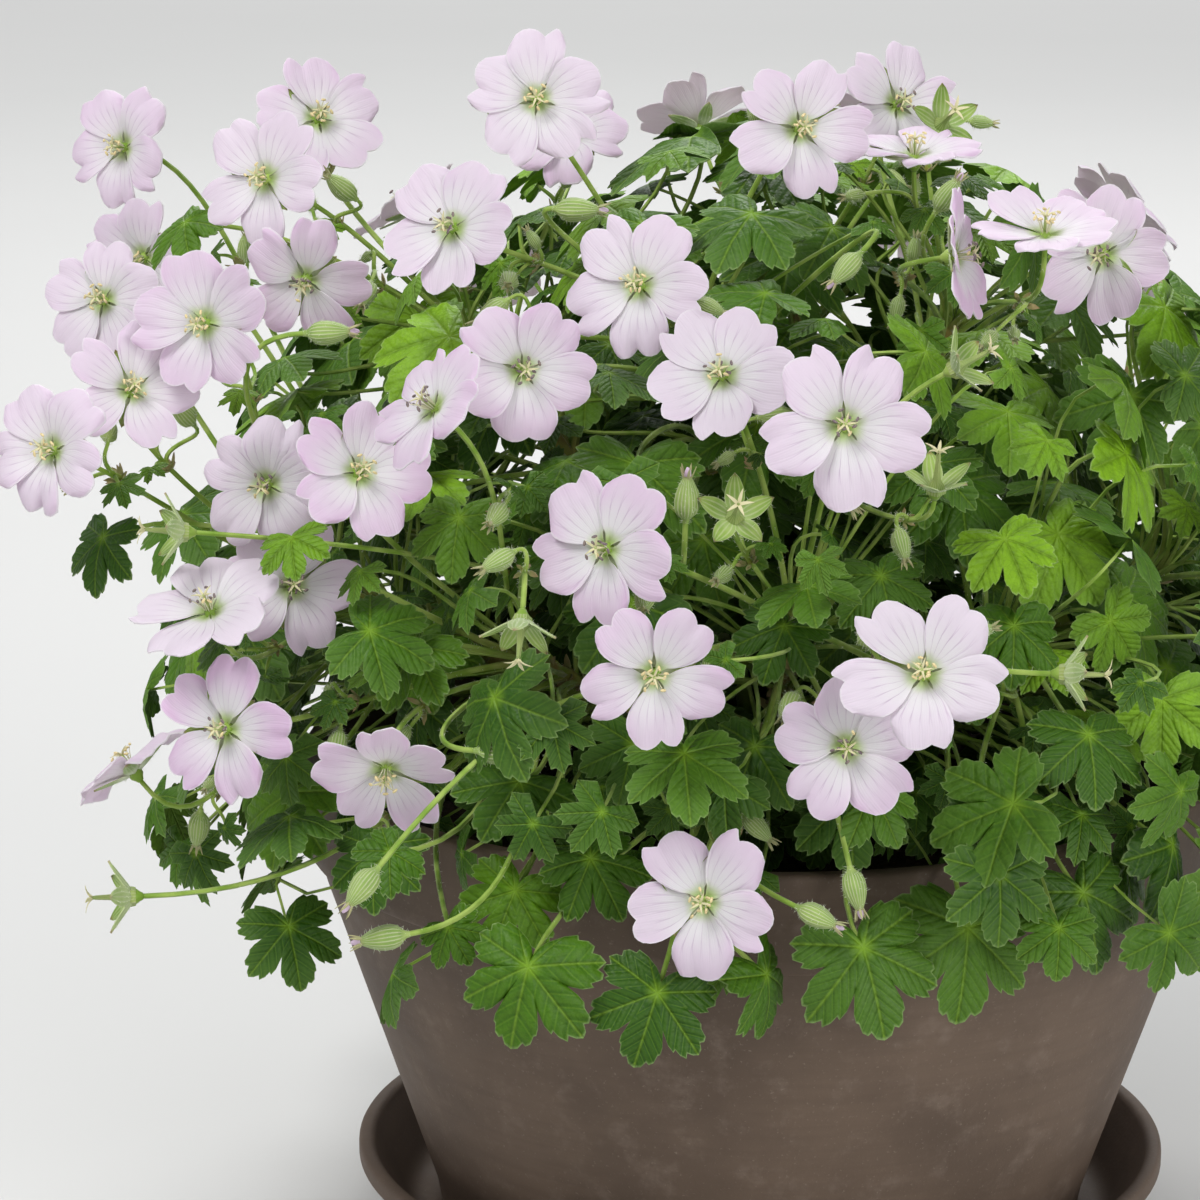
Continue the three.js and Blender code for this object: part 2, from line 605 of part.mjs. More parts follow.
function saucer() {
  const { rim, foot, height, wall, lip } = SAUCER;
  return turned([
    [0, 0], [foot, 0], [rim - lip, height - 5], [rim, height - 4], [rim, height],
    [rim - lip - 1.5, height], [foot - 1, wall], [0, wall],
  ], ROUND_SIDES);
}

function pot() {
  const { rim, inside, band, step, foot, height, wall, floor } = POT;
  const low = height - band;
  const profile = [
    [0, 0], [foot, 0], [rim - step, low], [rim, low + 1.2], [rim, height],
    [inside, height], [rim - step - wall, low - 2], [foot - wall + 1, floor], [0, floor],
  ];
  return turned(profile.map(([r, z]) => [r, z + POT_BASE]), ROUND_SIDES);
}

// The potting soil: it fills the pot, is lumpy on top, and has a plain hole for each main stem.
function soil() {
  const skin = new Skin();
  const bottom = POT_BASE + POT.floor + GAP;
  const shoulder = RIM_TOP - POT.band - 3;
  const turns = evenTurns(SOIL_SIDES);
  const ring = (r, height) => skin.ring(turns.map((turn) => around(turn, r, height())));
  const inner = (z) => potWall(z) - POT.wall - 1.6;
  const levels = [
    ring(inner(bottom), () => bottom),
    ring(inner(shoulder), () => shoulder),
    ...SOIL_RINGS.map((r) => ring(r, () => SOIL_TOP - SOIL_LUMP * draw())),
  ];
  skin.close([...levels[0]].reverse(), v3(0, 0, bottom));
  for (let i = 1; i < levels.length; i++) skin.wall(levels[i - 1], levels[i]);
  skin.close(levels.at(-1), v3(0, 0, SOIL_TOP));
  let made = solidFrom(skin.geometry());
  for (const { corners } of stems) {
    const radius = STEM.foot + 2 * GAP;
    const hole = new THREE.CylinderGeometry(radius, radius, STEM.depth + 12, 6);
    hole.rotateX(Math.PI / 2).translate(corners[0].x, corners[0].y, SOIL_TOP + 6 - STEM.depth / 2 - GAP);
    made = made.subtract(solidFrom(hole));
  }
  return made;
}

// ---- the object ---------------------------------------------------------------------------------------

const finish = (color, roughness) => new THREE.MeshStandardMaterial({ color, roughness, metalness: 0 });
const CLAY = finish(0x77675c, 0.75);
const PEAT = finish(0x2a211b, 1.0);
const GREEN = finish(0x4f7a2c, 0.6);
const PINK = finish(0xead6e6, 0.55);

const object = new THREE.Group();
function add(name, geometry, material) {
  const mesh = new THREE.Mesh(geometry, material);
  mesh.name = name;
  object.add(mesh);
}

const two = (i) => String(i + 1).padStart(2, "0");
add("saucer", geometryOf(saucer()), CLAY);
add("pot", geometryOf(pot()), CLAY);
add("soil", geometryOf(soil()), PEAT);
stems.forEach((stem, i) => add("leafy_stem_" + two(i), geometryOf(leafyStem(stem)), GREEN));
heads.filter(({ kind }) => kind === "bloom")
  .forEach((head, i) => add("bloom_" + two(i), corolla(head).geometry(), PINK));

export default object;
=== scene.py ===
import functools
import json
import math

import bpy
import numpy as np
from bpy.props import FloatProperty, FloatVectorProperty, IntProperty, PointerProperty
from bpy.types import Operator, Panel, PropertyGroup
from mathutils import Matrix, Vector

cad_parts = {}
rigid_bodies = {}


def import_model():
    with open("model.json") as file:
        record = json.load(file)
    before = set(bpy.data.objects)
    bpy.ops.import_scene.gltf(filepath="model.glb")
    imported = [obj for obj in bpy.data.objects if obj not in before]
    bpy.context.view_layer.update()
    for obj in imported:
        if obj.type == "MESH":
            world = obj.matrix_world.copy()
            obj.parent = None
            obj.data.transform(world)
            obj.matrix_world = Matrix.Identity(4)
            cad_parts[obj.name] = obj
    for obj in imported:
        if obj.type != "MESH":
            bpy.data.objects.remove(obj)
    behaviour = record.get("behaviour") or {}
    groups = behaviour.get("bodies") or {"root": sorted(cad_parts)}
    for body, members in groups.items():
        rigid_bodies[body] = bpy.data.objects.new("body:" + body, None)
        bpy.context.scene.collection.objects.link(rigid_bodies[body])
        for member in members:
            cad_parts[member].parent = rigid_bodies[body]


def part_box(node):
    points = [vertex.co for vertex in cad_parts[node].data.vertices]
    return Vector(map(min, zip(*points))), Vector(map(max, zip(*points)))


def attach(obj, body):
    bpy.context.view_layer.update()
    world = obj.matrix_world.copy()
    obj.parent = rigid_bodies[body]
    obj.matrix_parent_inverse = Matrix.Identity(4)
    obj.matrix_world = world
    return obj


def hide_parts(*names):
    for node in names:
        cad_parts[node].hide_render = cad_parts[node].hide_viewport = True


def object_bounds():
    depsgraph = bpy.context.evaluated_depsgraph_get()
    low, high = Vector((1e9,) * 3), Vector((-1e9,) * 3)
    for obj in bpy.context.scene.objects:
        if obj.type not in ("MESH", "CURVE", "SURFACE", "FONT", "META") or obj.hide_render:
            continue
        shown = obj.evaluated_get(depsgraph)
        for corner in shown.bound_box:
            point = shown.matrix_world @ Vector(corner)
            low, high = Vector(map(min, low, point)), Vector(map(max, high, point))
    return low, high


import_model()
CAD_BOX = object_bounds()

bl_info = {
    "name": "Hardy geranium in its pot",
    "version": (1, 0, 0),
    "blender": (4, 5, 0),
    "location": "3D View > Sidebar > Geranium",
    "description": "Dresses the packed model of a potted hardy geranium, piece by piece",
    "category": "Object",
}


MM = 0.001

# ---- what the solids are made from, in millimetres and degrees ----------------------------------------

SOIL_TOP, RIM_TOP, POT_BASE = 105.3, 118.3, 3.3
POT = {"rim": 110, "inside": 105.5, "band": 23, "step": 4, "foot": 78, "height": 115}
# A main stem's straight stretches and its bend, then from which stretch it has joints, and where on each.
STEM_STEPS, STEM_BEND, FIRST_NODE, NODE_SHARES = 8, 0.3, 2, (0.3, 0.7)
# How far a leaf arches, and a bloom's height, slope, bare middle and radius.
ARCH, SEAT, CUP, THROAT, PETAL = 0.2, 1.9, 0.2, 1.7, 15.5
BUD_REACH, CALYX_REACH = 4, 7
# Main stems as (foot, tip), each in degrees round and distance from the middle, and for the tip its height.
MAIN_STEMS = (
    ((0, 22), (2, 86, 168)), ((-40, 22), (-36, 94, 158)), ((-80, 24), (-72, 112, 166)),
    ((40, 22), (36, 88, 160)), ((80, 22), (74, 96, 166)), ((118, 24), (112, 96, 162)),
    ((158, 22), (152, 94, 166)), ((-158, 22), (-156, 94, 160)), ((-118, 24), (-114, 104, 168)),
    ((-20, 8), (-24, 52, 226)), ((-100, 9), (-78, 74, 222)), ((70, 8), (58, 50, 226)),
    ((165, 9), (168, 48, 220)),
)
# Blooms as (place, facing, turn, size), where facing is degrees round from -Y towards +X and degrees up.
BLOOMS = (
    ((-113, -35, 258), (-25, 18), 10, 1.0), ((-105, 5, 266), (15, 34), 40, 1.0),
    ((-155, 60, 253), (-35, 12), 0, 1.0), ((-149, 42, 229), (-30, -5), 30, 1.0),
    ((-104, -45, 238), (-12, -12), 20, 0.98), ((-125, -60, 230), (-20, 8), 50, 1.02),
    ((-143, -62, 214), (18, 30), 15, 1.0), ((-152, -20, 228), (-20, 20), 35, 0.95),
    ((-70, -70, 252), (-28, 22), 12, 1.0), ((-53, -45, 277), (0, 15), 36, 1.0),
    ((-30, -85, 242), (-18, 20), 8, 1.04), ((-56, -93, 226), (15, 12), 0, 1.0),
    ((-72, -114, 220), (-58, 40), 20, 0.98), ((-13, -106, 226), (-14, 30), 10, 0.98),
    ((11, -126, 220), (0, 14), 4, 1.12), ((-37, -126, 194), (-26, 14), 6, 1.06),
    ((-28, -134, 171), (0, 8), 0, 1.0), ((-111, -75, 197), (-14, 6), 30, 0.98),
    ((-91, -95, 203), (20, 28), 14, 1.0), ((-122, -97, 172), (-30, 60), 0, 1.06),
    ((-107, -72, 170), (10, 20), 20, 1.0), ((-118, -106, 153), (-24, 14), 28, 1.04),
    ((-141, -80, 132), (-112, 50), 10, 0.95), ((-84, -118, 146), (-4, -26), 36, 0.98),
    ((-17, -139, 122), (-12, 14), -2, 1.03), ((12, -131, 153), (0, 12), 38, 0.98),
    ((27, -146, 172), (-10, 26), 2, 1.1), ((4, -56, 272), (14, 14), 6, 1.0),
    ((31, -40, 262), (0, 80), 16, 1.0), ((35, -82, 248), (74, 10), 30, 0.95),
    ((50, -74, 251), (-5, 76), 0, 1.02), ((72, -58, 245), (-22, 4), 20, 1.0),
    ((29, 2, 270), (24, 24), 14, 0.95), ((-157, -75, 204), (-30, 20), 0, 0.98),
    ((-46, 8, 262), (-10, 40), 12, 0.9),
)
# Leaves as (place, facing, turn, radius).
LEAVES = (
    ((-56, -118, 141), (-8, 48), -30, 16), ((-41, -125, 129), (4, 40), 28, 14),
    ((-54, -122, 118), (-6, 30), -20, 14), ((-60, -128, 105), (-8, 24), -12, 18),
    ((-71, -132, 112), (-20, 36), 40, 9), ((-30, -127, 108), (0, 22), -18, 16),
    ((-20, -119, 94), (14, 8), 8, 12), ((-7, -127, 104), (60, 14), 8, 15),
    ((10, -127, 111), (10, 26), 12, 19), ((39, -126, 114), (16, 20), -8, 20),
    ((64, -114, 114), (28, 24), 10, 17), ((46, -120, 140), (20, 52), 24, 16),
    ((64, -118, 152), (26, 46), -10, 16), ((48, -115, 175), (10, 40), -6, 13),
    ((46, -112, 193), (0, 50), 20, 13), ((-6, -105, 174), (-6, 44), -20, 13),
    ((18, -102, 182), (6, 40), 10, 14), ((-76, -88, 165), (-20, 46), -16, 14),
    ((-83, -130, 136), (-16, 50), -40, 10), ((-78, -114, 124), (-26, 34), 6, 14),
    ((-113, -76, 132), (-40, 30), -4, 18), ((-134, -20, 246), (-60, 50), 0, 13),
    ((-105, -97, 187), (-24, 52), 24, 10), ((-146, -60, 186), (-50, 34), 8, 13),
    ((-82, -12, 222), (-10, 40), 0, 18),
)
# Nodding buds, and calyxes that have shed their petals, as (place, facing, size).
BUDS = (
    ((-44, -66, 256), (80, 0), 1.1), ((-60, -124, 150), (80, 0), 1.1), ((-21, -118, 203), (10, 80), 1.1),
    ((6, -134, 116), (70, -20), 1), ((14, -134, 124), (40, -70), 1), ((-98, -72, 230), (80, 4), 1.1),
    ((14, -78, 245), (-60, -40), 1), ((37, -58, 258), (60, 55), 1), ((-88, -133, 129), (-50, -40), 1.1),
    ((-84, -136, 111), (-80, -6), 1.1),
)
SPENT = (
    ((-11, -118, 198), (4, 30), 1), ((-52, -128, 185), (-8, -56), 1), ((31, -114, 203), (8, 74), 1),
    ((34, -108, 228), (70, 30), 1), ((55, -136, 170), (84, 0), 1), ((38, -22, 268), (20, 30), 1),
    ((-139, -98, 112), (-84, 0), 1), ((-127, -86, 190), (-80, 6), 1),
)
# The mound that the rest is strewn over: the upper half of an egg and a little more.
MOUND = {"base": 128, "across": 148, "up": 142, "reach": 1.22}
MORE_BLOOMS = {"tries": 40, "most": 7, "low": 0.97, "high": 1.04}
MORE_LEAVES = {"tries": 900, "most": 52, "low": 0.66, "high": 0.98, "first": 24, "last": 15, "front": 0.8}
SEED = 20260
GOLDEN_ANGLE = 137.508
# How clear a head and its stalk keep of all that grew before them. Within root of its foot, a stalk may come
# nearer than between to others of its own stem. Nothing fine stands within face in front of a bloom.
CLEAR = {
    "dish": 2.8, "edge": 1.1, "stalk": 2.6, "between": 3, "root": 18, "pot": 2.2, "box": -20, "face": 0,
}
# The room through the middle of a head for its neck and beak.
CORE = {"radius": 3, "below": 6, "above": 8}
# Where a dish is tested, as (share of its radius, points round).
DISH_RINGS = ((1, 18), (0.55, 9))
STEP_LENGTH = 3
# How far a piece may be moved to find room, on a grid. A move along Y costs less than its length.
MOVE = {"step": 3, "inwards": 0.49, "shown": 12, "hidden": 3}
# What makes a joint a worse root for a stalk: each unit that it drops, turns or has been used before.
ROOT_COST = {"drop": 0.7, "slack": 6, "turn": 16, "used": 5}
ROOTS_TRIED, STALK_STEPS, STALK_LEAST = 5, 3, 8
PULLS = (0.36, 0.2, 0.5)  # how far a stalk keeps the ways of its two ends, as shares of its length
# How far below its head's middle each kind of stalk ends, and how steeply it meets a leaf.
NECK = {"leaf": 0.7, "under": 0.4, "bloom": 1.2, "spent": 1.2, "bud": 5}
LEAF_ARRIVAL = 0.9

# ---- what only the fine pieces need, in millimetres and degrees ---------------------------------------

# Half of a leaf's edge, from the tip of its middle lobe round to the slit at its stalk, as (degrees,
# share of its radius): three wide lobes and a short one, each with blunt teeth. The other half mirrors it.
TOOTHED_EDGE = (
    (0, 1), (5, 0.975), (8.5, 0.9), (11, 0.93), (15, 0.9), (18, 0.81), (20.5, 0.8), (23, 0.72), (26, 0.5),
    (29.5, 0.7), (33, 0.8), (35.5, 0.77), (38, 0.86), (42, 0.93), (44.5, 0.87), (48, 0.93), (52, 0.965),
    (56, 0.93), (59, 0.85), (62, 0.88), (66, 0.85), (69, 0.74), (73, 0.7), (76, 0.6), (79, 0.46),
    (83, 0.62), (88, 0.72), (91, 0.68), (96, 0.78), (101, 0.78), (104, 0.72), (110, 0.8), (116, 0.75),
    (119, 0.68), (124, 0.72), (130, 0.68), (135, 0.6), (140, 0.62), (148, 0.5), (160, 0.34), (170, 0.24),
    (180, 0.14),
)
PLAIN_EDGE = (
    (0, 1), (8, 0.87), (14, 0.9), (26, 0.52), (36, 0.83), (41, 0.79), (52, 0.96), (61, 0.8), (66, 0.84),
    (79, 0.48), (92, 0.73), (97, 0.69), (110, 0.8), (124, 0.68), (140, 0.62), (180, 0.14),
)
LOBE_VEINS = (0, 52, 110, 150)  # where the main veins of half a leaf run, in degrees from its tip
LOBE_FOLD = 26  # how many degrees from a vein its fold ends
LEAF_THICKNESS = (0.42, 0.24)  # at the stalk and at the edge
LEAF_WAVES = ((1, 0.05), (2, 0.045), (3, 0.03), (5, 0.02))  # as (waves in a turn, height)
LEAF_DROOP = 0.13
PETAL_THICKNESS, PETAL_COLUMNS = 0.32, 15
PETAL_RINGS = (0, 0.06, 0.13, 0.21, 0.32, 0.44, 0.56, 0.68, 0.79, 0.88, 0.95, 1)
# Small leaves that fill the mound: round its rim, in its heart, and then all over it.
UNDER_LEAVES = (
    {"tries": 900, "most": 140, "low": 0.72, "high": 1.0, "first": 18, "last": 10, "from_drop": 0.62},
    {"tries": 900, "most": 130, "low": 0.05, "high": 0.58, "first": 21, "last": 12, "from_drop": 0},
    {"tries": 8000, "most": 760, "low": 0.3, "high": 0.99, "first": 18, "last": 6.5, "from_drop": 0},
)
CLOSE = {"dish": 0.6, "edge": 0.3, "stalk": 0.65, "pot": 1.5, "box": 0, "face": 16}
BLOOMS_WITHIN = 70  # how far off a bloom may be that a piece could hide
SHOOT_CLEAR = {"reach": 10, "stalk": 0.8, "edge": 0.5, "bud": 2.2}
BUD_SPINE = np.linspace(-5, 7, 6)
FORKS_BETWEEN = (0.5, 0.8)  # where on a stalk its side shoots leave it
# Side shoots of each flower stalk, with the length of their stalk and their own radius.
FORK = (
    {"kind": "side bud", "tries": 5, "length": (8, 18), "radius": (2.4, 4.0), "lift": -0.45},
    {"kind": "side bud", "tries": 2, "length": (7, 12), "radius": (1.8, 2.6), "lift": -0.2},
    {"kind": "under", "tries": 12, "length": (6, 11), "radius": (4.5, 8), "lift": 0.7},
    {"kind": "under", "tries": 8, "length": (5, 9), "radius": (4, 6.5), "lift": 0.4},
)
UNDER_MOVES = [np.array(move, float) for move in ((0, 0, 0), (0, 0, 3), (0, 0, -3))]
UP = np.array((0.0, 0.0, 1.0))


# ---- where everything grows ---------------------------------------------------------------------------

def unit(v):
    """Each vector, made one long."""
    return v / np.linalg.norm(v, axis=-1, keepdims=True)


def between(low, high, share):
    """What lies at a share of the way from low to high."""
    return low + (high - low) * share


def eased(x, low, high):
    """0 below low, 1 above high and a smooth step between."""
    t = np.clip((x - low) / (high - low), 0, 1)
    return t * t * (3 - 2 * t)


def around(turn, far, height):
    """A point from degrees round from the front, distance from the middle and height."""
    turn = np.radians(turn)
    return np.array((np.sin(turn) * far, -np.cos(turn) * far, height))


def heading(turn, above):
    """A direction from degrees round from the front, and degrees above the horizon."""
    flat = math.cos(math.radians(above))
    return around(turn, flat, math.sin(math.radians(above)))


def axes_facing(facing, turn):
    """Rows tip, side and facing: the tip points as nearly down as it can, then turns about facing."""
    down = np.array((facing[0], facing[1], -0.2)) if facing[2] > 0.95 else -UP
    tip = unit(down - facing * (down @ facing))
    turn = math.radians(turn)
    tip = tip * math.cos(turn) + np.cross(facing, tip) * math.sin(turn)
    return np.array((tip, np.cross(facing, tip), facing))


def bezier(corners, t):
    """Points at shares t of a curve through its first and last corners, pulled by those between."""
    corners = np.asarray(corners)
    n = corners.shape[-2] - 1
    weights = [math.comb(n, i) * (1 - t) ** (n - i) * t**i for i in range(n + 1)]
    return np.stack(weights, -1) @ corners


def along(corners):
    """Points about every STEP_LENGTH along straight stretches."""
    points = []
    for low, high in zip(corners[:-1], corners[1:]):
        count = math.ceil(np.linalg.norm(high - low) / STEP_LENGTH)
        points.append(between(low, high, (np.arange(count) / count)[:, None]))
    return np.concatenate(points)


DISH_SPOTS = np.array([(0.0, 0.0)] + [
    (share * math.cos(2 * math.pi * i / count), share * math.sin(2 * math.pi * i / count))
    for share, count in DISH_RINGS for i in range(count)
])


class Head:
    """A leaf, bloom, bud or calyx: its place, its axes as rows (tip, side, facing), and its stalk."""

    def __init__(self, kind, at, axes, radius, size):
        self.kind, self.at, self.axes, self.radius, self.size = kind, at, axes, radius, size
        self.stem, self.corners = None, None
        arched, cupped = (0, 0, -ARCH / radius), (SEAT - CUP * THROAT, CUP, 0)
        self.dish = {"leaf": arched, "under": arched, "bloom": cupped}.get(kind, (0, 0, 0))
        spots = DISH_SPOTS * radius
        self.edge = at + np.column_stack((spots, self.height(np.hypot(*spots.T)))) @ axes

    def height(self, r):
        """How far its dish stands off its middle plane at a distance r from its middle."""
        return self.dish[0] + self.dish[1] * r + self.dish[2] * r * r


def dishes(heads):
    """The middles, facings, radii, dishes and edge points of heads, each as one array."""
    rows = [(h.at, h.axes[2], h.radius, h.dish, h.edge) for h in heads]
    return [np.array(column) for column in zip(*rows)]


def in_dishes(points, table, margin, edge):
    """For each head and point, whether the point lies in the head's dish or its core."""
    at, facing, radius, dish = table[:4]
    d = points[None] - at[:, None]
    off = (d * facing[:, None]).sum(-1)
    r = np.sqrt(np.maximum(0, (d * d).sum(-1) - off * off))
    height = dish[:, :1] + dish[:, 1:2] * r + dish[:, 2:] * r * r
    core = (r < CORE["radius"]) & (off > -CORE["below"]) & (off < CORE["above"])
    return core | (r < radius[:, None] + edge) & (abs(off - height) < margin)


def hits_pot(points, margin):
    """Whether any point comes within a margin of the pot's wall, its rim or the soil in it."""
    far, z = np.hypot(points[:, 0], points[:, 1]), points[:, 2]
    slope = (POT["rim"] - POT["step"] - POT["foot"]) / (POT["height"] - POT["band"])
    wall = np.where(z > RIM_TOP - POT["band"], POT["rim"], POT["foot"] + slope * (z - POT_BASE))
    outer = (z < RIM_TOP + margin) & (far < wall + margin)
    return np.where(far < POT["inside"] - margin, z < SOIL_TOP + margin, outer).any()


def within_box(points, margin):
    """Whether all points stay inside the solids' box by a margin."""
    low, high = (np.array(corner) / MM for corner in CAD_BOX)
    return (points > low + margin).all() and (points < high - margin).all()


class Draws:
    """Draws between 0 and 1, the same on every run."""

    def __init__(self, seed):
        self.state = seed

    def __call__(self):
        self.state = (self.state * 1664525 + 1013904223) % 2**32
        return self.state / 2**32


def moves_within(far):
    """Small moves over a grid, nearest first, out to a distance. Moves along Y come cheaper."""
    count = far // MOVE["step"]
    steps = range(-count, count + 1)
    found = [
        (x * x + MOVE["inwards"] * y * y + z * z, (x, y, z))
        for x in steps for y in steps for z in steps
    ]
    near = sorted((m for m in found if m[0] <= count * count), key=lambda m: m[0])
    return [MOVE["step"] * np.array(move, float) for _, move in near]


class Plant:
    """Where everything grows: main stems, and heads on stalks that keep clear of each other."""

    def __init__(self):
        self.stems, self.heads, self.table = [], [], None
        self.all_points, self.all_owners = np.zeros((0, 3)), np.zeros(0)
        self.draw, self.clear, self.hidden_moves = Draws(SEED), CLEAR, moves_within(MOVE["hidden"])
        for i, (foot, tip) in enumerate(MAIN_STEMS):
            low, high = around(*foot, SOIL_TOP), around(*tip)
            bend = between(low, high, STEM_BEND) + UP * (high[2] - low[2]) * STEM_BEND
            self.stems.append((low, bend, high))
            corners = bezier((low, bend, high), np.linspace(0, 1, STEM_STEPS + 1))
            self.add_route(along(corners[1:]), i)
        self.node_at, self.node_grows = self.stem_nodes()
        self.used = np.zeros(self.node_at.shape[:2])

    def add_route(self, points, stem):
        """Keeps the points of a stem or stalk, so that what grows later keeps clear of them."""
        self.all_points = np.concatenate((self.all_points, points))
        self.all_owners = np.append(self.all_owners, np.full(len(points), stem))

    def add_head(self, head):
        """Keeps a head, so that what grows later keeps clear of it."""
        self.heads.append(head)
        row = dishes([head])
        self.table = [np.concatenate(pair) for pair in zip(self.table, row)] if self.table else row

    def near(self, at, reach):
        """The rows of the heads whose dishes come within reach of a point."""
        if not self.table:
            return None
        picked = ((self.table[0] - at) ** 2).sum(-1) < (self.table[2] + reach) ** 2
        return [column[picked] for column in self.table] if picked.any() else None

    def stem_nodes(self):
        """The joints of each main stem, from which stalks leave, and the ways that the stem grows there."""
        at, grows = [], []
        for stem in self.stems:
            corners = bezier(stem, np.linspace(0, 1, STEM_STEPS + 1))
            low, high = corners[FIRST_NODE:-1], corners[FIRST_NODE + 1:]
            at.append(np.stack([between(low, high, s) for s in NODE_SHARES], 1).reshape(-1, 3))
            grows.append(np.repeat(unit(high - low), len(NODE_SHARES), 0))
        return np.array(at), np.array(grows)

    def of(self, kind, stem=None):
        """The heads of a kind, on all main stems or on one."""
        return [h for h in self.heads if h.kind == kind and stem in (None, h.stem)]

    def dish_fits(self, head):
        """Whether a head's dish keeps clear of the pot and of all dishes and stalks."""
        clear = self.clear
        if hits_pot(head.edge, clear["pot"]) or not within_box(head.edge, clear["box"]):
            return False
        row = dishes([head])
        near = self.near(head.at, head.radius + clear["dish"])
        if near and in_dishes(head.edge, near, clear["dish"], clear["edge"]).any():
            return False
        if near and in_dishes(near[4].reshape(-1, 3), row, clear["dish"], clear["edge"]).any():
            return False
        if clear["face"] and self.hides_bloom(head.edge, clear["face"]):
            return False
        return not in_dishes(self.all_points, row, clear["stalk"], clear["edge"]).any()

    def hides_bloom(self, points, far):
        """Whether any of the points stands in front of a bloom, nearer than a distance."""
        nearby = ((self.table[0] - points[0]) ** 2).sum(-1) < BLOOMS_WITHIN**2
        blooms = nearby & (self.table[3][:, 1] > 0)
        at, facing, radius = (column[blooms] for column in self.table[:3])
        d = points[None] - at[:, None]
        off = (d * facing[:, None]).sum(-1)
        aside = (d * d).sum(-1) - off * off
        return ((off > 0) & (off < far) & (aside < (radius**2)[:, None])).any()

    def stalk_fits(self, points, stem):
        """Whether a stalk keeps clear of the pot and of all dishes and other stalks."""
        clear = self.clear
        if not len(points):
            return True
        if hits_pot(points, clear["pot"]):
            return False
        middle = points.mean(0)
        reach = np.sqrt(((points - middle) ** 2).sum(-1).max()) + CORE["radius"] + CORE["above"]
        near = self.near(middle, reach)
        if near and in_dishes(points, near, clear["stalk"], clear["edge"]).any():
            return False
        if clear["face"]:
            return not self.hides_bloom(points, clear["face"])
        outer = ((points - points[0]) ** 2).sum(-1) >= clear["root"] ** 2
        near = ((points[:, None] - self.all_points[None]) ** 2).sum(-1) < clear["between"] ** 2
        return not (near & ((self.all_owners != stem)[None] | outer[:, None])).any()

    def roots(self, end):
        """The best node of each main stem for a stalk to a point, cheapest first."""
        way = end - self.node_at
        long = np.linalg.norm(way, axis=-1)
        turn = 1 - (self.node_grows * way).sum(-1) / long
        drop = np.maximum(0, self.node_at[..., 2] - end[2] + ROOT_COST["slack"])
        cost = long + ROOT_COST["drop"] * drop + ROOT_COST["turn"] * turn + ROOT_COST["used"] * self.used
        node = cost.argmin(1)
        stems = np.arange(len(cost))
        for stem in np.argsort(cost[stems, node], kind="stable")[:ROOTS_TRIED]:
            i = (stem, node[stem])
            yield i, long[i], unit(way[i] / long[i] + self.node_grows[i])

    def place(self, kind, item, radius, moves):
        """Puts one piece on a near main stem that a clear stalk can reach, moved a little if it must be."""
        place, faces, turn, size = item
        axes = axes_facing(heading(*faces), turn)
        neck = NECK[kind] * (size if kind == "bud" else 1)
        for move in moves:
            head = Head(kind, np.array(place, float) + move, axes, radius, size)
            if not self.dish_fits(head):
                continue
            end = head.at - axes[2] * neck
            leafy = kind in ("leaf", "under")
            arriving = unit(axes[0] + axes[2] * LEAF_ARRIVAL) if leafy else axes[2]
            for node, long, leaving in self.roots(end):
                if long < STALK_LEAST:
                    continue
                for pull in PULLS:
                    start = self.node_at[node]
                    curve = (start, start + leaving * long * pull, end - arriving * long * pull, end)
                    points = along(bezier(curve, np.linspace(0, 1, STALK_STEPS + 1)))[1:-1]
                    if not self.stalk_fits(points, node[0]):
                        continue
                    self.used[node] += 1
                    head.stem, head.corners = int(node[0]), np.array(curve)
                    self.add_head(head)
                    self.add_route(points, node[0])
                    return head
        return None

    def on_mound(self, k, count, share):
        """The k-th point of a golden spiral down the mound, at a share of its depth."""
        drop = math.acos(1 - MOUND["reach"] * (k + 0.5) / count)
        turn = k * GOLDEN_ANGLE
        height = MOUND["base"] + math.cos(drop) * MOUND["up"] * share
        return around(turn, math.sin(drop) * MOUND["across"] * share, height), turn, 90 - math.degrees(drop)

    def fill_blooms(self, tries, most, low, high):
        """Blooms for the back and the top of the mound."""
        made = 0
        for k in range(tries):
            if made >= most:
                break
            at, turn, above = self.on_mound(k, tries, between(low, high, self.draw()))
            faces = (turn + 30 * (self.draw() - 0.5), above * 0.7 + 20 * self.draw())
            item = (at, faces, 72 * self.draw(), 0.96 + 0.1 * self.draw())
            hidden = at[1] > 12 and at[2] > RIM_TOP + 20
            if hidden and self.place("bloom", item, PETAL * item[3], self.hidden_moves):
                made += 1

    def fill_leaves(self, tries, most, low, high, first, last, front):
        """Leaves for the whole mound. They grow smaller as it fills, and stay smaller in front. The spiral
        is gone through in steps of seven, so that each size is spread evenly."""
        made = 0
        for k in range(tries):
            if made >= most:
                break
            at, turn, above = self.on_mound(k * 7 % tries, tries, between(low, high, self.draw()))
            faces = (turn + 50 * (self.draw() - 0.5), 25 + above * 0.5 + 20 * (self.draw() - 0.5))
            item = (at, faces, 70 * (self.draw() - 0.5), 1)
            radius = (first + (last - first) * k / tries) * (front if at[1] < 0 else 1)
            if self.place("leaf", item, radius, self.hidden_moves):
                made += 1

    def grow(self):
        """All that the solids have too, in the order that they grow in."""
        shown = moves_within(MOVE["shown"])
        for item in BLOOMS:
            self.place("bloom", item, PETAL * item[3], shown)
        for place, faces, turn, radius in LEAVES:
            self.place("leaf", (place, faces, turn, 1), radius, shown)
        for place, faces, size in BUDS:
            self.place("bud", (place, faces, 0, size), BUD_REACH, shown)
        for place, faces, size in SPENT:
            self.place("spent", (place, faces, 0, size), CALYX_REACH, shown)
        self.fill_blooms(**MORE_BLOOMS)
        self.fill_leaves(**MORE_LEAVES)

    # What follows is only on the fine pieces.

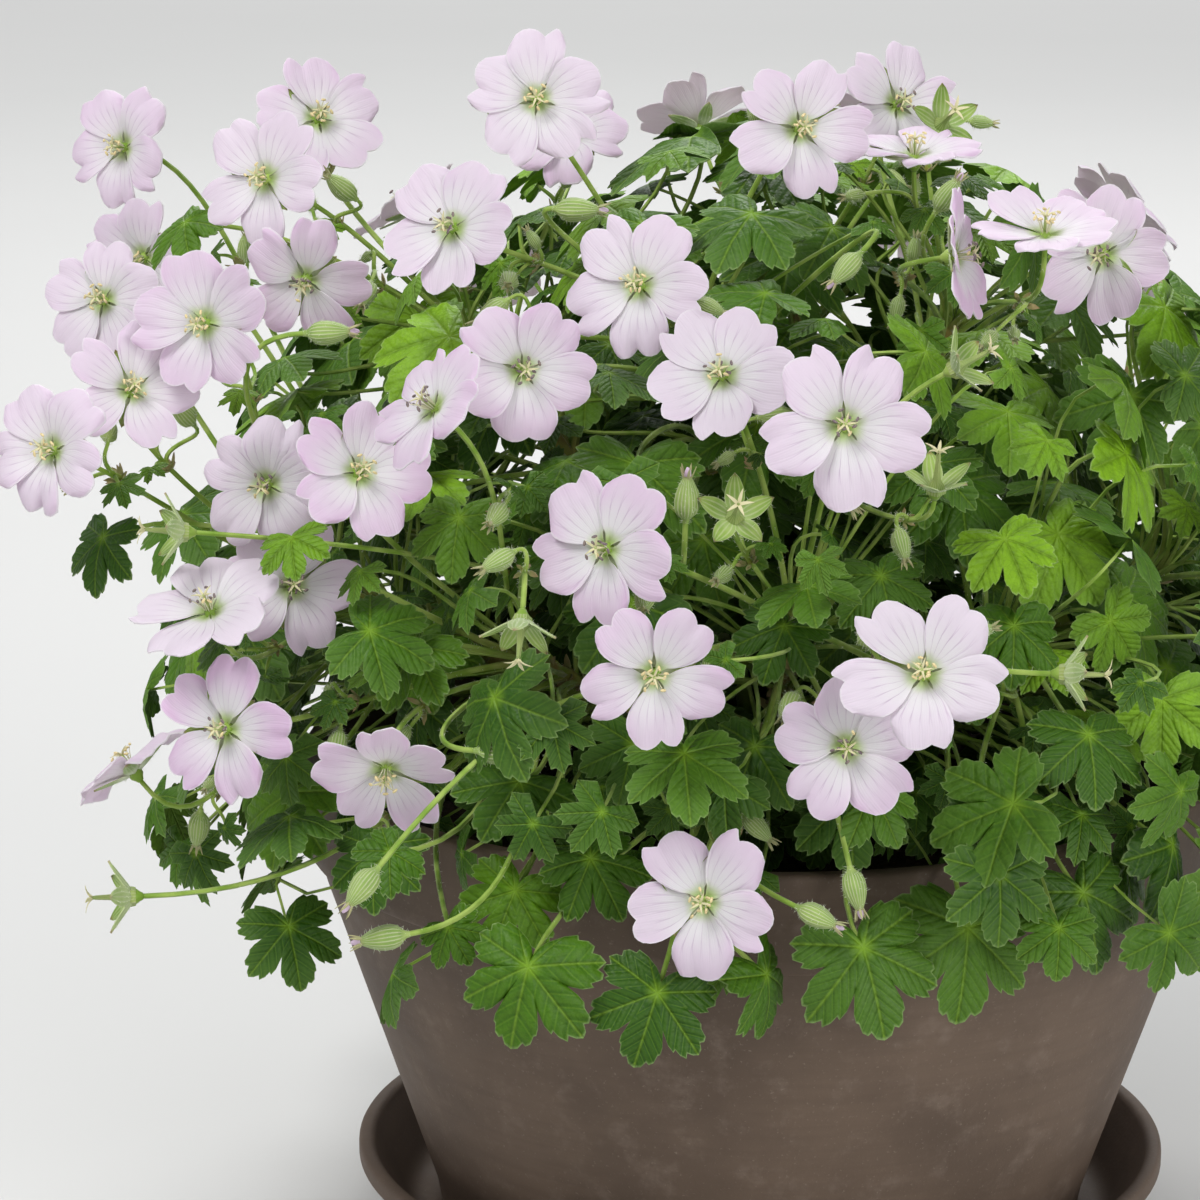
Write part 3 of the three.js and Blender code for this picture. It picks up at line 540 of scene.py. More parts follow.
    def fork(self):
        """Side buds and small leaves where the stalks of blooms and calyxes fork and have room for them."""
        self.clear = CLOSE
        rng = np.random.default_rng(SEEDS["fork"])
        for head in self.of("bloom") + self.of("spent"):
            t = rng.uniform(*FORKS_BETWEEN)
            start, on = bezier(head.corners, np.array((t, t + 0.05)))
            for shoot in FORK:
                self.branch(head.stem, start, unit(on - start), rng, **shoot)

    def branch(self, stem, start, way, rng, kind, tries, length, radius, lift):
        """A side shoot from a point on a stalk. The bud or leaf at its end faces out and is lifted."""
        for _ in range(tries):
            out = unit(way * 0.8 + unit(np.cross(way, rng.normal(size=3))))
            long, reach = rng.uniform(*length), rng.uniform(*radius)
            facing = unit(out * 0.8 + UP * lift + 0.3 * rng.normal(size=3))
            tip = unit(out - facing * (out @ facing))
            axes = np.array((tip, np.cross(facing, tip), facing))
            head = Head(kind, start + out * long, axes, reach, reach / BUD_REACH)
            bud = kind == "side bud"
            end = head.at - facing * (NECK["bud"] * head.size if bud else NECK["under"])
            arriving = facing if bud else unit(tip + facing * LEAF_ARRIVAL)
            head.corners = np.array((start, start + way * long * 0.5, end - arriving * long * 0.5, end))
            stalk = bezier(head.corners, np.linspace(0.1, 1, 10))
            spine = head.at + facing * (BUD_SPINE * head.size)[:, None]
            near = self.near(head.at, long + SHOOT_CLEAR["reach"])
            clear = not near or not in_dishes(stalk, near, SHOOT_CLEAR["stalk"], SHOOT_CLEAR["edge"]).any()
            if bud and near:
                clear = clear and not in_dishes(spine, near, SHOOT_CLEAR["bud"] * head.size, 0).any()
            if clear and self.dish_fits(head):
                head.stem = stem
                self.add_head(head)
                return

    def fill_under(self, tries, most, low, high, first, last, from_drop):
        """Leaves that fill the mound between all that grew before them, from large ones to small ones. The
        spiral is gone through in steps of eleven, from a share of the way down it."""
        self.clear = CLOSE
        rng = np.random.default_rng(SEEDS["under"] + tries)
        made = 0
        for k in range(tries):
            if made >= most:
                break
            spot = tries * from_drop + (k * 11 % tries) * (1 - from_drop)
            at, turn, above = self.on_mound(spot, tries, between(low, high, rng.uniform() ** 0.6))
            faces = (turn + rng.normal() * 28, 30 + above * 0.45 + rng.normal() * 16)
            radius = between(first, last, k / tries) * rng.uniform(0.85, 1.15)
            if self.place("under", (at, faces, rng.normal() * 40, 1), radius, UNDER_MOVES):
                made += 1


# ---- closed skins -------------------------------------------------------------------------------------

class Skin:
    """Closed surfaces gathered into one mesh. Each is a grid of rings that run anticlockwise seen from
    where the rings end. Each point also has a place on its own surface and a tint, three numbers each."""

    def __init__(self):
        self.points, self.places, self.tints = [], [], []
        self.quads, self.threes = [], []
        self.count = 0

    def add(self, points, place=(0, 0, 0), tint=(0, 0, 0), ends="poles"):
        """points is copies x rings x sides x 3. Poles close a skin at the first points of its first and
        last ring; strips close a flat one by joining the two halves of each of those rings."""
        copies, rings, sides, _ = points.shape
        index = self.count + np.arange(copies * rings * sides).reshape(copies, rings, sides)
        self.count += index.size
        for store, value in ((self.points, points), (self.places, place), (self.tints, tint)):
            store.append(np.broadcast_to(value, points.shape).reshape(-1, 3))
        inner = slice(1, -1) if ends == "poles" else slice(None)
        low, high = index[:, inner][:, :-1], index[:, inner][:, 1:]
        quads = np.stack((low, np.roll(low, -1, 2), np.roll(high, -1, 2), high), -1)
        self.quads.append(quads.reshape(-1, 4))
        first, last = index[:, 1], index[:, -2]
        if ends == "poles":
            tip = np.broadcast_to(index[:, -1, :1], last.shape)
            root = np.broadcast_to(index[:, 0, :1], first.shape)
            self.threes.append(np.stack((last, np.roll(last, -1, 1), tip), -1).reshape(-1, 3))
            self.threes.append(np.stack((np.roll(first, -1, 1), first, root), -1).reshape(-1, 3))
            return
        half = sides // 2
        for ring, turn in ((index[:, 0], -1), (index[:, -1], 1)):
            near, far = ring[:, :half], ring[:, :half - 1:-1]
            strip = np.stack((near[:, :-1], near[:, 1:], far[:, 1:], far[:, :-1]), -1)
            self.quads.append(strip[..., ::turn].reshape(-1, 4))

    def mesh(self, name, sharp):
        """The mesh, with edges sharper than an angle in degrees left crisp."""
        corners = [*(f.ravel() for f in self.quads), *(f.ravel() for f in self.threes)]
        used, corners = np.unique(np.concatenate(corners), return_inverse=True)
        fours = sum(map(len, self.quads))
        threes = sum(map(len, self.threes))
        starts = np.concatenate((np.arange(fours) * 4, fours * 4 + np.arange(threes) * 3))
        mesh = bpy.data.meshes.new(name)
        mesh.vertices.add(len(used))
        mesh.loops.add(len(corners))
        mesh.polygons.add(len(starts))
        mesh.vertices.foreach_set("co", (np.concatenate(self.points)[used] * MM).astype(np.float32).ravel())
        mesh.loops.foreach_set("vertex_index", corners.astype(np.int32).ravel())
        mesh.polygons.foreach_set("loop_start", starts.astype(np.int32))
        mesh.update(calc_edges=True)
        for label, values in (("place", self.places), ("tint", self.tints)):
            layer = mesh.attributes.new(label, "FLOAT_VECTOR", "POINT")
            layer.data.foreach_set("vector", np.concatenate(values)[used].astype(np.float32).ravel())
        mesh.shade_smooth()
        mesh.set_sharp_from_angle(angle=math.radians(sharp))
        if mesh.validate():
            raise RuntimeError(name + " has faces that are not sound")
        return mesh


def vectors(*parts):
    """Points or triples from arrays of their three parts."""
    return np.stack(np.broadcast_arrays(*parts), -1).astype(float)


def stand(local, at, axes):
    """Local points, copies x ... x 3, set at their places along the rows of their axes."""
    extra = (1,) * (local.ndim - 2)
    return np.einsum("b...i,bij->b...j", local, axes) + at.reshape(len(at), *extra, 3)


def tubes(paths, radii, sides):
    """Round skins along paths, copies x rings x 3. Each ring stands square to its path, and is the last
    ring's turn carried along it. Poles at both ends close them."""
    ways = unit(np.gradient(paths, axis=1))
    across = unit(np.cross(ways[:, 0], np.where(abs(ways[:, 0, 2:]) > 0.9, (1.0, 0, 0), UP)))
    turns = np.arange(sides) * 2 * math.pi / sides
    frames = []
    for i in range(paths.shape[1]):
        across = unit(across - ways[:, i] * (across * ways[:, i]).sum(-1, keepdims=True))
        frames.append((across, np.cross(ways[:, i], across)))
    across, beside = np.stack([a for a, _ in frames], 1), np.stack([b for _, b in frames], 1)
    spokes = across[:, :, None] * np.cos(turns)[:, None] + beside[:, :, None] * np.sin(turns)[:, None]
    return paths[:, :, None] + spokes * np.broadcast_to(radii, paths.shape[:2])[..., None, None]


def places(heads):
    """The middles and the axes of heads, each as one array."""
    return np.array([h.at for h in heads]), np.array([h.axes for h in heads])


def sizes(heads):
    """The sizes of heads as one array."""
    return np.array([h.size for h in heads])


def phases(rng, shape):
    """Where waves start, anywhere in a turn."""
    return rng.uniform(0, 6.3, shape)


def both_sides(top, under):
    """Rows that go across the top of a flat piece and back underneath it."""
    return np.concatenate((top, under[:, :, ::-1]), 2)


# ---- shapes -------------------------------------------------------------------------------------------

def blades(leaves, half_edge, rows, rng, age_and_painted_light):
    """Palmate leaf blades in polar form about the top of their stalk: distance is the edge's outline times
    a share, height is an arch plus a fold down along each lobe's vein, a slow wave and drooping tips.
    rows are (share, side) from the middle of the underside, side 1, over the edge to the top's middle."""
    mirrored = [(360 - turn, far) for turn, far in half_edge[-2:0:-1]]
    turn, far = np.array([*half_edge, *mirrored]).T
    share, side = np.array(rows).T
    at, axes = places(leaves)
    radius = np.array([h.radius for h in leaves])[:, None, None]
    theta = np.radians(turn)
    uneven = 1 + 0.05 * rng.normal(size=radius.shape) * np.sin(theta + phases(rng, radius.shape))
    r = radius * share[:, None] * far * uneven
    veins = np.array([*LOBE_VEINS, *(360 - v for v in LOBE_VEINS)])
    off = np.radians(abs((turn[:, None] - veins + 180) % 360 - 180).min(1))
    fold = np.clip(off / math.radians(LOBE_FOLD), 0, 1)
    wave = sum(
        size * rng.normal(size=radius.shape) * np.sin(n * theta + phases(rng, radius.shape))
        for n, size in LEAF_WAVES
    )
    droop = rng.uniform(0, LEAF_DROOP, radius.shape)
    z = -ARCH * r * r / radius + r * (0.12 * fold - 0.05) + radius * share[:, None] ** 2 * (wave - droop)
    z = z - side[:, None] * between(*LEAF_THICKNESS, share)[:, None]
    points = stand(vectors(r * np.cos(theta), r * np.sin(theta), z), at, axes)
    along_vein, across_vein = r * np.cos(off) / radius, r * np.sin(off) / radius
    place = vectors(across_vein, along_vein, share[:, None])
    tint = vectors(age_and_painted_light[:, None, None], side[:, None], rng.uniform(0, 1, radius.shape))
    return points, place, np.broadcast_to(tint, (len(leaves), len(share), 1, 3))


def petals(blooms, rng, flush):
    """Notched petals: along x from the claw to a tip outline that falls off to rounded corners, dips to the
    notch, which lies to one side, and juts out at the ear beside it, across y to a half width that swells
    along a sine and is pinched near the claw, and in height up the bloom's dish with a roll, a bow, a curl
    and ripples that grow outwards. Each ring goes over the top and back underneath, with its points closest
    at the notch."""
    count = len(blooms) * 5

    def vary(size, middle=0.0):
        return middle + size * rng.normal(size=(count, 1, 1)).clip(-2, 2)

    def shared(size, middle=0.0):
        return np.repeat(middle + size * rng.normal(size=len(blooms)).clip(-2, 2), 5)[:, None, None]

    across = np.linspace(1, -1, PETAL_COLUMNS)
    across = (np.sign(across) * abs(across) ** 1.25)[None, None]
    split = np.sign(vary(1)) * rng.uniform(0.08, 0.46, (count, 1, 1))
    u = across + split * (1 - across**2)
    v = np.array(PETAL_RINGS)[None, :, None]
    radius = np.repeat([h.radius for h in blooms], 5)[:, None, None]
    length = radius * (1.01 + vary(0.025))
    notch = (0.12 + vary(0.03)) * np.exp(-((abs(across) / 0.24) ** 1.15))
    ear = 0.17 * abs(split) * np.exp(-(((u * np.sign(split) - 0.8) / 0.16) ** 2))
    corner = (0.2 - 0.2 * split * u + vary(0.02)) * abs(u) ** 3
    tip = length * (1 - corner - notch + ear + vary(0.02) * u)
    claw = 1.0
    x = claw + (tip - claw) * v**0.95
    swell = np.sin(math.pi / 2 * np.clip(v / 0.8, 0, 1)) ** (0.98 + shared(0.06))
    widest = length * (0.412 + shared(0.022) + vary(0.014))
    half = between(0.6, widest, swell) - 0.6 * np.exp(-(((v - 0.12) / 0.09) ** 2))
    y = u * half * (1 - 0.08 * eased(v, 0.84, 1)) + vary(0.02) * x
    rise = SEAT + CUP * (x - THROAT) + x * (shared(0.06) + vary(0.045))
    bow = length * (0.045 + shared(0.03) + vary(0.015)) * np.sin(math.pi * v**1.2)
    curl = -length * (0.05 + shared(0.03) + vary(0.035)) * v**4
    roll = (0.1 + vary(0.02)) * y + length * 0.035 * u * u * (1 - v * 0.6) + vary(0.03) * y * v
    ripple = length * v**3 * (
        0.016 * np.sin(8 * u + phases(rng, (count, 1, 1)))
        + 0.022 * vary(1) * u * u * np.sin(6 * v + phases(rng, (count, 1, 1)))
    )
    top = vectors(x, y, rise + bow + curl + roll + ripple)
    x, y, z = np.moveaxis(both_sides(top, top - (0, 0, PETAL_THICKNESS)), -1, 0)
    sway = vary(1.6)[:, 0, 0]
    turns = np.radians(np.tile(np.arange(5) * 72.0, len(blooms)) + sway)
    cos, sin = np.cos(turns)[:, None, None], np.sin(turns)[:, None, None]
    local = vectors(x * cos - y * sin, x * sin + y * cos, z)
    at, axes = (np.repeat(part, 5, 0) for part in places(blooms))
    place = vectors(both_sides(u, u), v, rng.uniform(0, 1, (count, 1, 1)))
    blush = np.repeat(flush, 5)[:, None, None] * (1 + vary(0.12))
    tint = vectors(blush, both_sides(np.zeros_like(u), np.ones_like(u)), 0)
    return stand(local, at, axes), place, tint


def lances(at, axes, length, width, slope, rings, thick=0.34, fill=0.8, across=5):
    """Thin pointed blades such as sepals and stipules: along x, a half width that rises and falls as a
    sine does, hollow across and bent by a slope that grows outwards."""
    u = np.linspace(1, -1, across)[None, None]
    v = np.linspace(0, 1, rings)[None, :, None]
    length, width, slope = (np.broadcast_to(s, len(at))[:, None, None] for s in (length, width, slope))
    swell = 0.12 + 0.88 * np.sin(math.pi * v**fill).clip(0, 1) ** 0.8
    half = width * swell * (1 - 0.9 * eased(v, 0.9, 1))
    x, y = length * v, u * half
    z = slope * x * v + 0.16 * width * u * u
    top = vectors(x, y, z)
    local = both_sides(top, top - vectors(0, 0, thick * (1 - 0.6 * v)))
    place = vectors(both_sides(u, u), v, 0)
    return stand(local, at, axes), place, both_sides(np.zeros_like(u), np.ones_like(u))


def spread_round(heads, count, first, r, z, tilt):
    """Places and axes of count pieces round each head's middle: out along x, tilted up by degrees. They
    stand at a distance r and a height z, which may be columns with a value for each head."""
    turns = np.radians(first + np.arange(count) * 360 / count)
    up = math.radians(tilt)
    x = vectors(np.cos(turns) * math.cos(up), np.sin(turns) * math.cos(up), math.sin(up))
    z_axis = vectors(-np.cos(turns) * math.sin(up), -np.sin(turns) * math.sin(up), math.cos(up))
    local = np.stack((x, np.cross(z_axis, x), z_axis), 1)
    at, axes = places(heads)
    spots = at[:, None] + vectors(np.cos(turns) * r, np.sin(turns) * r, z) @ axes
    return spots.reshape(-1, 3), (local[None] @ axes[:, None]).reshape(-1, 3, 3)


def turned_about(profile, heads, folds, sides=10):
    """A profile of (distance, height) turned about each head's facing, with five soft folds round it. Its
    place runs from 0 at the crest of a fold to 1 between two."""
    r, z = np.array(profile, float).T
    size = sizes(heads)[:, None, None]
    turn = np.arange(sides) * 2 * math.pi / sides
    far = r[:, None] * (1 + folds * np.cos(5 * turn)) * size
    local = vectors(far * np.cos(turn), far * np.sin(turn), z[:, None] * size)
    place = vectors(1 - abs(1 - 5 * turn / math.pi % 2), (z[:, None] - z[0]) / (z[-1] - z[0]), 0)
    return stand(local, *places(heads)), place


def add_hairs(skin, points, middles, count, length, rng):
    """Pale hairs that stand out from the middles of a skin's rings: slim spindles of three sides."""
    copies, rings, sides, _ = points.shape
    b, r = rng.integers(copies, size=count), rng.integers(1, rings - 2, count)
    c = rng.integers(sides, size=count)
    share = rng.uniform(0, 1, (count, 1))
    root = between(points[b, r, c], points[b, r + 1, c], share)
    out = unit(root - between(middles[b, r], middles[b, r + 1], share) + 1e-6)
    lean = unit(out + 0.35 * rng.normal(size=(count, 3)))
    long = length * rng.uniform(0.6, 1.2, (count, 1))
    path = root[:, None] + lean[:, None] * long[:, None] * np.array((-0.1, 0.15, 1))[:, None]
    skin.add(tubes(path, HAIR_RADII, sides=3), tint=HAIR_TINT)


# ---- paint --------------------------------------------------------------------------------------------

class Number:
    """A number's socket, on which shader maths is written as an expression."""

    def __init__(self, paint, socket):
        self.paint, self.socket = paint, socket

    def _maths(self, operation, a, b=0.0):
        return self.paint.node("ShaderNodeMath", {"operation": operation}, {0: a, 1: b})

    def __add__(self, other):
        return self._maths("ADD", self, other)

    def __sub__(self, other):
        return self._maths("SUBTRACT", self, other)

    def __rsub__(self, other):
        return self._maths("SUBTRACT", other, self)

    def __mul__(self, other):
        return self._maths("MULTIPLY", self, other)

    def __abs__(self):
        return self._maths("ABSOLUTE", self)

    __radd__, __rmul__ = __add__, __mul__

    def to_nearest(self):
        """The distance to the nearest whole number."""
        return abs(self._maths("FRACT", self + 0.5) - 0.5)

    def step(self, low, high):
        """0 at low, 1 at high and a smooth step between."""
        settings = {"interpolation_type": "SMOOTHSTEP", "clamp": True}
        return self.paint.node("ShaderNodeMapRange", settings, {0: self, 1: low, 2: high, 3: 0.0, 4: 1.0})


class Paint:
    """A material whose colour, roughness and relief are worked out from places on the piece."""

    def __init__(self, name, **constants):
        self.material = bpy.data.materials.new(name)
        self.material.use_nodes = True
        self.tree = self.material.node_tree
        self.shader = self.tree.nodes["Principled BSDF"]
        for socket, value in constants.items():
            self.shader.inputs[socket.replace("_", " ")].default_value = value
        self.objects = self.node("ShaderNodeTexCoord", {}, {}, "Object")

    def node(self, kind, settings, values, output=0):
        """Adds a node: its settings first, then a value or a link for each socket."""
        made = self.tree.nodes.new(kind)
        for key, value in settings.items():
            setattr(made, key, value)
        for key, value in values.items():
            value = value.socket if isinstance(value, Number) else value
            if isinstance(value, bpy.types.NodeSocket):
                self.tree.links.new(value, made.inputs[key])
            else:
                made.inputs[key].default_value = value
        return Number(self, made.outputs[output])

    def attribute(self, name):
        """The three parts of a vector kept on the piece's points."""
        vector = self.node("ShaderNodeAttribute", {"attribute_name": name}, {}, "Vector")
        made = self.tree.nodes.new("ShaderNodeSeparateXYZ")
        self.tree.links.new(vector.socket, made.inputs[0])
        return [Number(self, part) for part in made.outputs]

    def noise(self, size, detail, vector=None, roughness=0.55):
        """A cloudy pattern from 0 to 1 whose blotches are about size millimetres wide."""
        values = {"Vector": vector or self.objects, "Scale": 1 / (size * MM)}
        values.update({"Detail": detail, "Roughness": roughness})
        return self.node("ShaderNodeTexNoise", {}, values, "Fac")

    def mix(self, share, a, b):
        """A colour between a and b, each one that a user sets or one that is worked out."""
        settings = {"data_type": "RGBA", "clamp_factor": True}
        a, b = (c if isinstance(c, Number) else (*c, 1.0) for c in (a, b))
        return self.node("ShaderNodeMix", settings, {0: share, 6: a, 7: b}, 2)

    def bump(self, height, depth, strength):
        """Relief of a depth in millimetres, from a height of 0 to 1."""
        values = {"Strength": strength, "Distance": depth * MM, "Height": height}
        self.set("Normal", self.node("ShaderNodeBump", {}, values))

    def set(self, socket, value):
        self.tree.links.new(value.socket, self.shader.inputs[socket])

    def let_light_through(self, colour, share):
        """Lets light from behind glow through a share of the surface in a colour."""
        through = self.node("ShaderNodeBsdfTranslucent", {}, {"Color": (*colour, 1.0)})
        thin = self.node("ShaderNodeMixShader", {}, {0: share, 1: self.shader.outputs[0], 2: through})
        self.tree.links.new(thin.socket, self.tree.nodes["Material Output"].inputs["Surface"])


def petal_paint(s):
    """White at the throat, blushing outwards, with fine mauve veins that fork towards the tip."""
    paint = Paint("petal", Sheen_Weight=0.1, Specular_IOR_Level=0.3)
    u, v, seed = paint.attribute("place")
    flush, under, _ = paint.attribute("tint")
    cloud = paint.noise(5.0, 2.0)
    grain = paint.noise(0.6, 1.0)
    outward = v.step(0.28, 0.95) * 0.65 + abs(u).step(0.45, 1.0) * v.step(0.2, 0.7) * 0.35
    blush = outward * (cloud * 1.1 + 0.45) * flush
    colour = paint.mix(v.step(0.25, 0.7), s.white, s.pale)
    colour = paint.mix(blush, colour, s.blush)
    colour = paint.mix((1 - v.step(0.03, 0.24)) * 0.92, colour, s.throat)
    wobble = (paint.noise(4.5, 0.0) - 0.5) * 0.3
    fork = v.step(0.35, 1.0) * 0.2
    line = abs((u * 3.1 + wobble + (seed - 0.5) * 0.4).to_nearest() - fork)
    vein = (1 - line.step(0.0, 0.07)) * v.step(0.1, 0.25) * (1 - v.step(0.45, 0.8)) * (cloud * 1.5 - 0.1)
    colour = paint.mix(vein * (0.66 - under * 0.3), colour, s.vein)
    # Painted highlight: the side edges and the tip of each petal are lightened towards white.
    rim = abs(u).step(0.93, 1.0) * v.step(0.3, 0.6) + v.step(0.965, 1.0)
    # Painted light: the underside of each petal is also lightened a little towards white.
    colour = paint.mix(rim * 0.75 + under * 0.1, colour, s.white)
    paint.set("Base Color", colour)
    paint.set("Roughness", grain * 0.16 + 0.48)
    rib = (u * 13 + wobble * 3).to_nearest() * 1.4
    paint.bump((1 - line.step(0.0, 0.2)) * -0.5 + rib * 0.45, depth=0.12, strength=0.6)
    paint.let_light_through(s.lit_through, share=0.36)
    return paint.material


def leaf_paint(s):
    """Green that pales along the veins and where the stalk joins, duller and lighter underneath."""
    paint = Paint("leaf", Specular_IOR_Level=0.25)
    across, along_vein, share = paint.attribute("place")
    age_and_painted_light, under, chance = paint.attribute("tint")
    cloud = paint.noise(6.0, 2.0)
    grain = paint.noise(1.1, 1.0)
    # The age tint also carries painted shade deep in the mound and painted light on the right.
    colour = paint.mix(age_and_painted_light.step(0.0, 0.5), s.old, s.green)
    colour = paint.mix(age_and_painted_light.step(0.45, 1.0), colour, s.young)
    colour = paint.mix((cloud - 0.4) * 0.9, colour, s.deep)
    colour = paint.mix(chance.step(0.6, 1.0) * 0.4 * cloud, colour, s.grey)
    side_line = ((along_vein - across * (chance * 0.5 + 0.85)) * (chance * 2.2 + 5.2)).to_nearest()
    side = (1 - side_line.step(0.0, 0.12)) * (1 - across.step(0.26, 0.42)) * along_vein.step(0.1, 0.3)
    main = 1 - across.step(0.0, 0.03)
    # Painted shade in the furrow along the main vein: a dark band on either side of it.
    furrow_shade = (1 - across.step(0.02, 0.09)) * along_vein.step(0.1, 0.3)
    cells = {"Vector": paint.objects, "Scale": 1 / (1.3 * MM)}
    net = paint.node("ShaderNodeTexVoronoi", {"feature": "DISTANCE_TO_EDGE"}, cells, "Distance")
    fine = 1 - net.step(0.0, 0.12)
    between_veins = side_line.step(0.1, 0.45) * along_vein.step(0.15, 0.35)
    colour = paint.mix(fine * 0.14 + furrow_shade * 0.26, colour, s.deep)
    colour = paint.mix(side * 0.2 + main * 0.45 + between_veins * 0.08, colour, s.vein)
    colour = paint.mix((1 - along_vein.step(0.02, 0.2)) * 0.5, colour, s.heart)
    colour = paint.mix(share.step(0.96, 1.0) * (grain * 0.5 + 0.1), colour, s.margin)
    colour = paint.mix(under * 0.55, colour, s.under)
    paint.set("Base Color", colour)
    paint.set("Roughness", grain * 0.25 + 0.4 + under * 0.15)
    relief = grain * 0.9 + side_line.step(0.0, 0.4) * 0.45 - main * 0.8
    paint.bump(relief, depth=0.36, strength=0.9)
    return paint.material


def stalk_paint(s):
    """Light green and reddish brown at the joints, with pale ribs on sepals and buds and pale hairs."""
    paint = Paint("stalk", Sheen_Weight=0.15, Specular_IOR_Level=0.35)
    side, v, _ = paint.attribute("place")
    red, pale, ribbed = paint.attribute("tint")
    cloud = paint.noise(5.0, 1.0)
    grain = paint.noise(0.6, 1.0)
    colour = paint.mix(cloud.step(0.3, 0.7), s.green, s.light)
    rib = (1 - (side * 2).to_nearest().step(0.03, 0.3)) * ribbed
    colour = paint.mix(ribbed * 0.5, colour, s.green)
    colour = paint.mix(rib * (0.75 - v * 0.2), colour, s.stripe)
    colour = paint.mix(red * (cloud * 0.9 + 0.35), colour, s.joint)
    # pale carries the hairs and pale ribs, and also painted light on the feet of sepals under petals.
    colour = paint.mix(pale * (grain * 0.4 + 0.7), colour, s.hair)
    paint.set("Base Color", colour)
    paint.set("Roughness", grain * 0.2 + 0.5)
    paint.bump(grain * 0.6 + rib * 0.8, depth=0.14, strength=0.7)
    return paint.material


def centre_paint(s):
    """Filaments, anthers and stigmas: each keeps its own colour from pale green to cream to dusky."""
    paint = Paint("stamens", Specular_IOR_Level=0.35)
    anther, dusky, green = paint.attribute("tint")
    grain = paint.noise(0.35, 1.0)
    colour = paint.mix(green * (grain * 0.4 + 0.75), s.filament, s.style)
    colour = paint.mix(anther, colour, s.anther)
    colour = paint.mix(dusky * (grain * 0.5 + 0.6), colour, s.dusky)
    paint.set("Base Color", colour)
    paint.set("Roughness", grain * 0.2 + 0.6)
    paint.bump(grain, depth=0.08, strength=0.7)
    return paint.material


def clay_paint(name, s, dark):
    """Matt taupe ware: cloudy, with faint rings from turning, pale bloom and specks."""
    paint = Paint(name, Specular_IOR_Level=0.35)
    stretched = paint.node("ShaderNodeMapping", {}, {"Vector": paint.objects, "Scale": (0.3, 0.3, 6.0)})
    cloud = paint.noise(38.0, 4.0)
    blotch = paint.noise(9.0, 5.0, roughness=0.65)
    rings = paint.noise(14.0, 3.0, stretched)
    grit = paint.noise(0.8, 3.0)
    colour = paint.mix(cloud.step(0.3, 0.7), s.dark, s.taupe)
    colour = paint.mix(blotch.step(0.5, 0.8) * 0.45, colour, s.bloom)
    colour = paint.mix((1 - rings.step(0.3, 0.6)) * 0.25, colour, s.dark)
    colour = paint.mix(grit.step(0.62, 0.75) * 0.3, colour, s.speck)
    colour = paint.mix(dark, colour, s.dark)
    paint.set("Base Color", colour)
    paint.set("Roughness", blotch * 0.25 + 0.52)
    paint.bump(grit * 0.5 + rings * 0.5, depth=0.16, strength=0.6)
    return paint.material


def soil_paint(s):
    """Dark damp compost with fibres and a few pale grains."""
    paint = Paint("compost", Specular_IOR_Level=0.25)
    crumb = paint.noise(2.2, 5.0, roughness=0.7)
    fleck = paint.noise(1.1, 2.0)
    colour = paint.mix(crumb.step(0.3, 0.75), s.soil, s.crumb)
    colour = paint.mix(fleck.step(0.68, 0.74) * 0.7, colour, s.fibre)
    paint.set("Base Color", colour)
    paint.set("Roughness", crumb * 0.2 + 0.78)
    paint.bump(crumb + fleck * 0.4, depth=1.2, strength=0.9)
    return paint.material


def floor_paint(s):
    """A pale matt floor with the faintest cloudiness."""
    paint = Paint("pale_floor", Specular_IOR_Level=0.2)
    cloud = paint.noise(420.0, 3.0)
    paint.set("Base Color", paint.mix(cloud, s.floor, [0.96 * c for c in s.floor]))
    paint.set("Roughness", cloud * 0.1 + 0.7)
    return paint.material


# ---- sizes and colours that a user would change -------------------------------------------------------

def shade(name, red, green, blue, description):
    return FloatVectorProperty(name=name, description=description, subtype="COLOR", size=3, min=0, max=1,
                               default=(red, green, blue))


def distance(name, default, description, **limits):
    return FloatProperty(name=name, description=description, unit="LENGTH", default=default, **limits)


def share_of(name, default, description):
    return FloatProperty(name=name, description=description, subtype="FACTOR", default=default, min=0, max=1)


class PetalSettings(PropertyGroup):
    white: shade("White", 0.86, 0.87, 0.87, "Colour of a petal between its throat and its middle")
    pale: shade("Pale", 0.83, 0.79, 0.845, "Colour of a petal's middle")
    blush: shade("Blush", 0.76, 0.57, 0.76, "Colour that a petal deepens to at its edge")
    lit_through: shade("Lit through", 0.93, 0.79, 0.9, "Colour of light that shines through a petal")
    throat: shade("Throat", 0.42, 0.62, 0.13, "Colour of a petal's foot")
    vein: shade("Veins", 0.33, 0.16, 0.36, "Colour of a petal's veins")
    mean_flush: share_of("Flush", 0.56, "How strongly most blooms blush")


class LeafSettings(PropertyGroup):
    deep: shade("Deep", 0.012, 0.045, 0.002, "Darkest clouds of a leaf")
    old: shade("Old", 0.024, 0.082, 0.003, "Colour of an old leaf")
    green: shade("Green", 0.055, 0.15, 0.0035, "Colour of most leaves")
    young: shade("Young", 0.2, 0.39, 0.01, "Colour of a young leaf")
    grey: shade("Bloom", 0.12, 0.22, 0.045, "Colour of the downy bloom on a leaf")
    vein: shade("Veins", 0.19, 0.33, 0.025, "Colour along a leaf's veins")
    heart: shade("Heart", 0.2, 0.36, 0.015, "Colour where a leaf's stalk joins")
    margin: shade("Margin", 0.36, 0.47, 0.2, "Colour of the hairs along a leaf's edge")
    under: shade("Underside", 0.13, 0.24, 0.045, "Colour of a leaf's underside")
    fine_from: distance("Finely toothed", 0.0115, "Radius from which a leaf has all its teeth", min=0)
    young_share: share_of("Young leaves", 0.4, "How young leaves are on the whole")


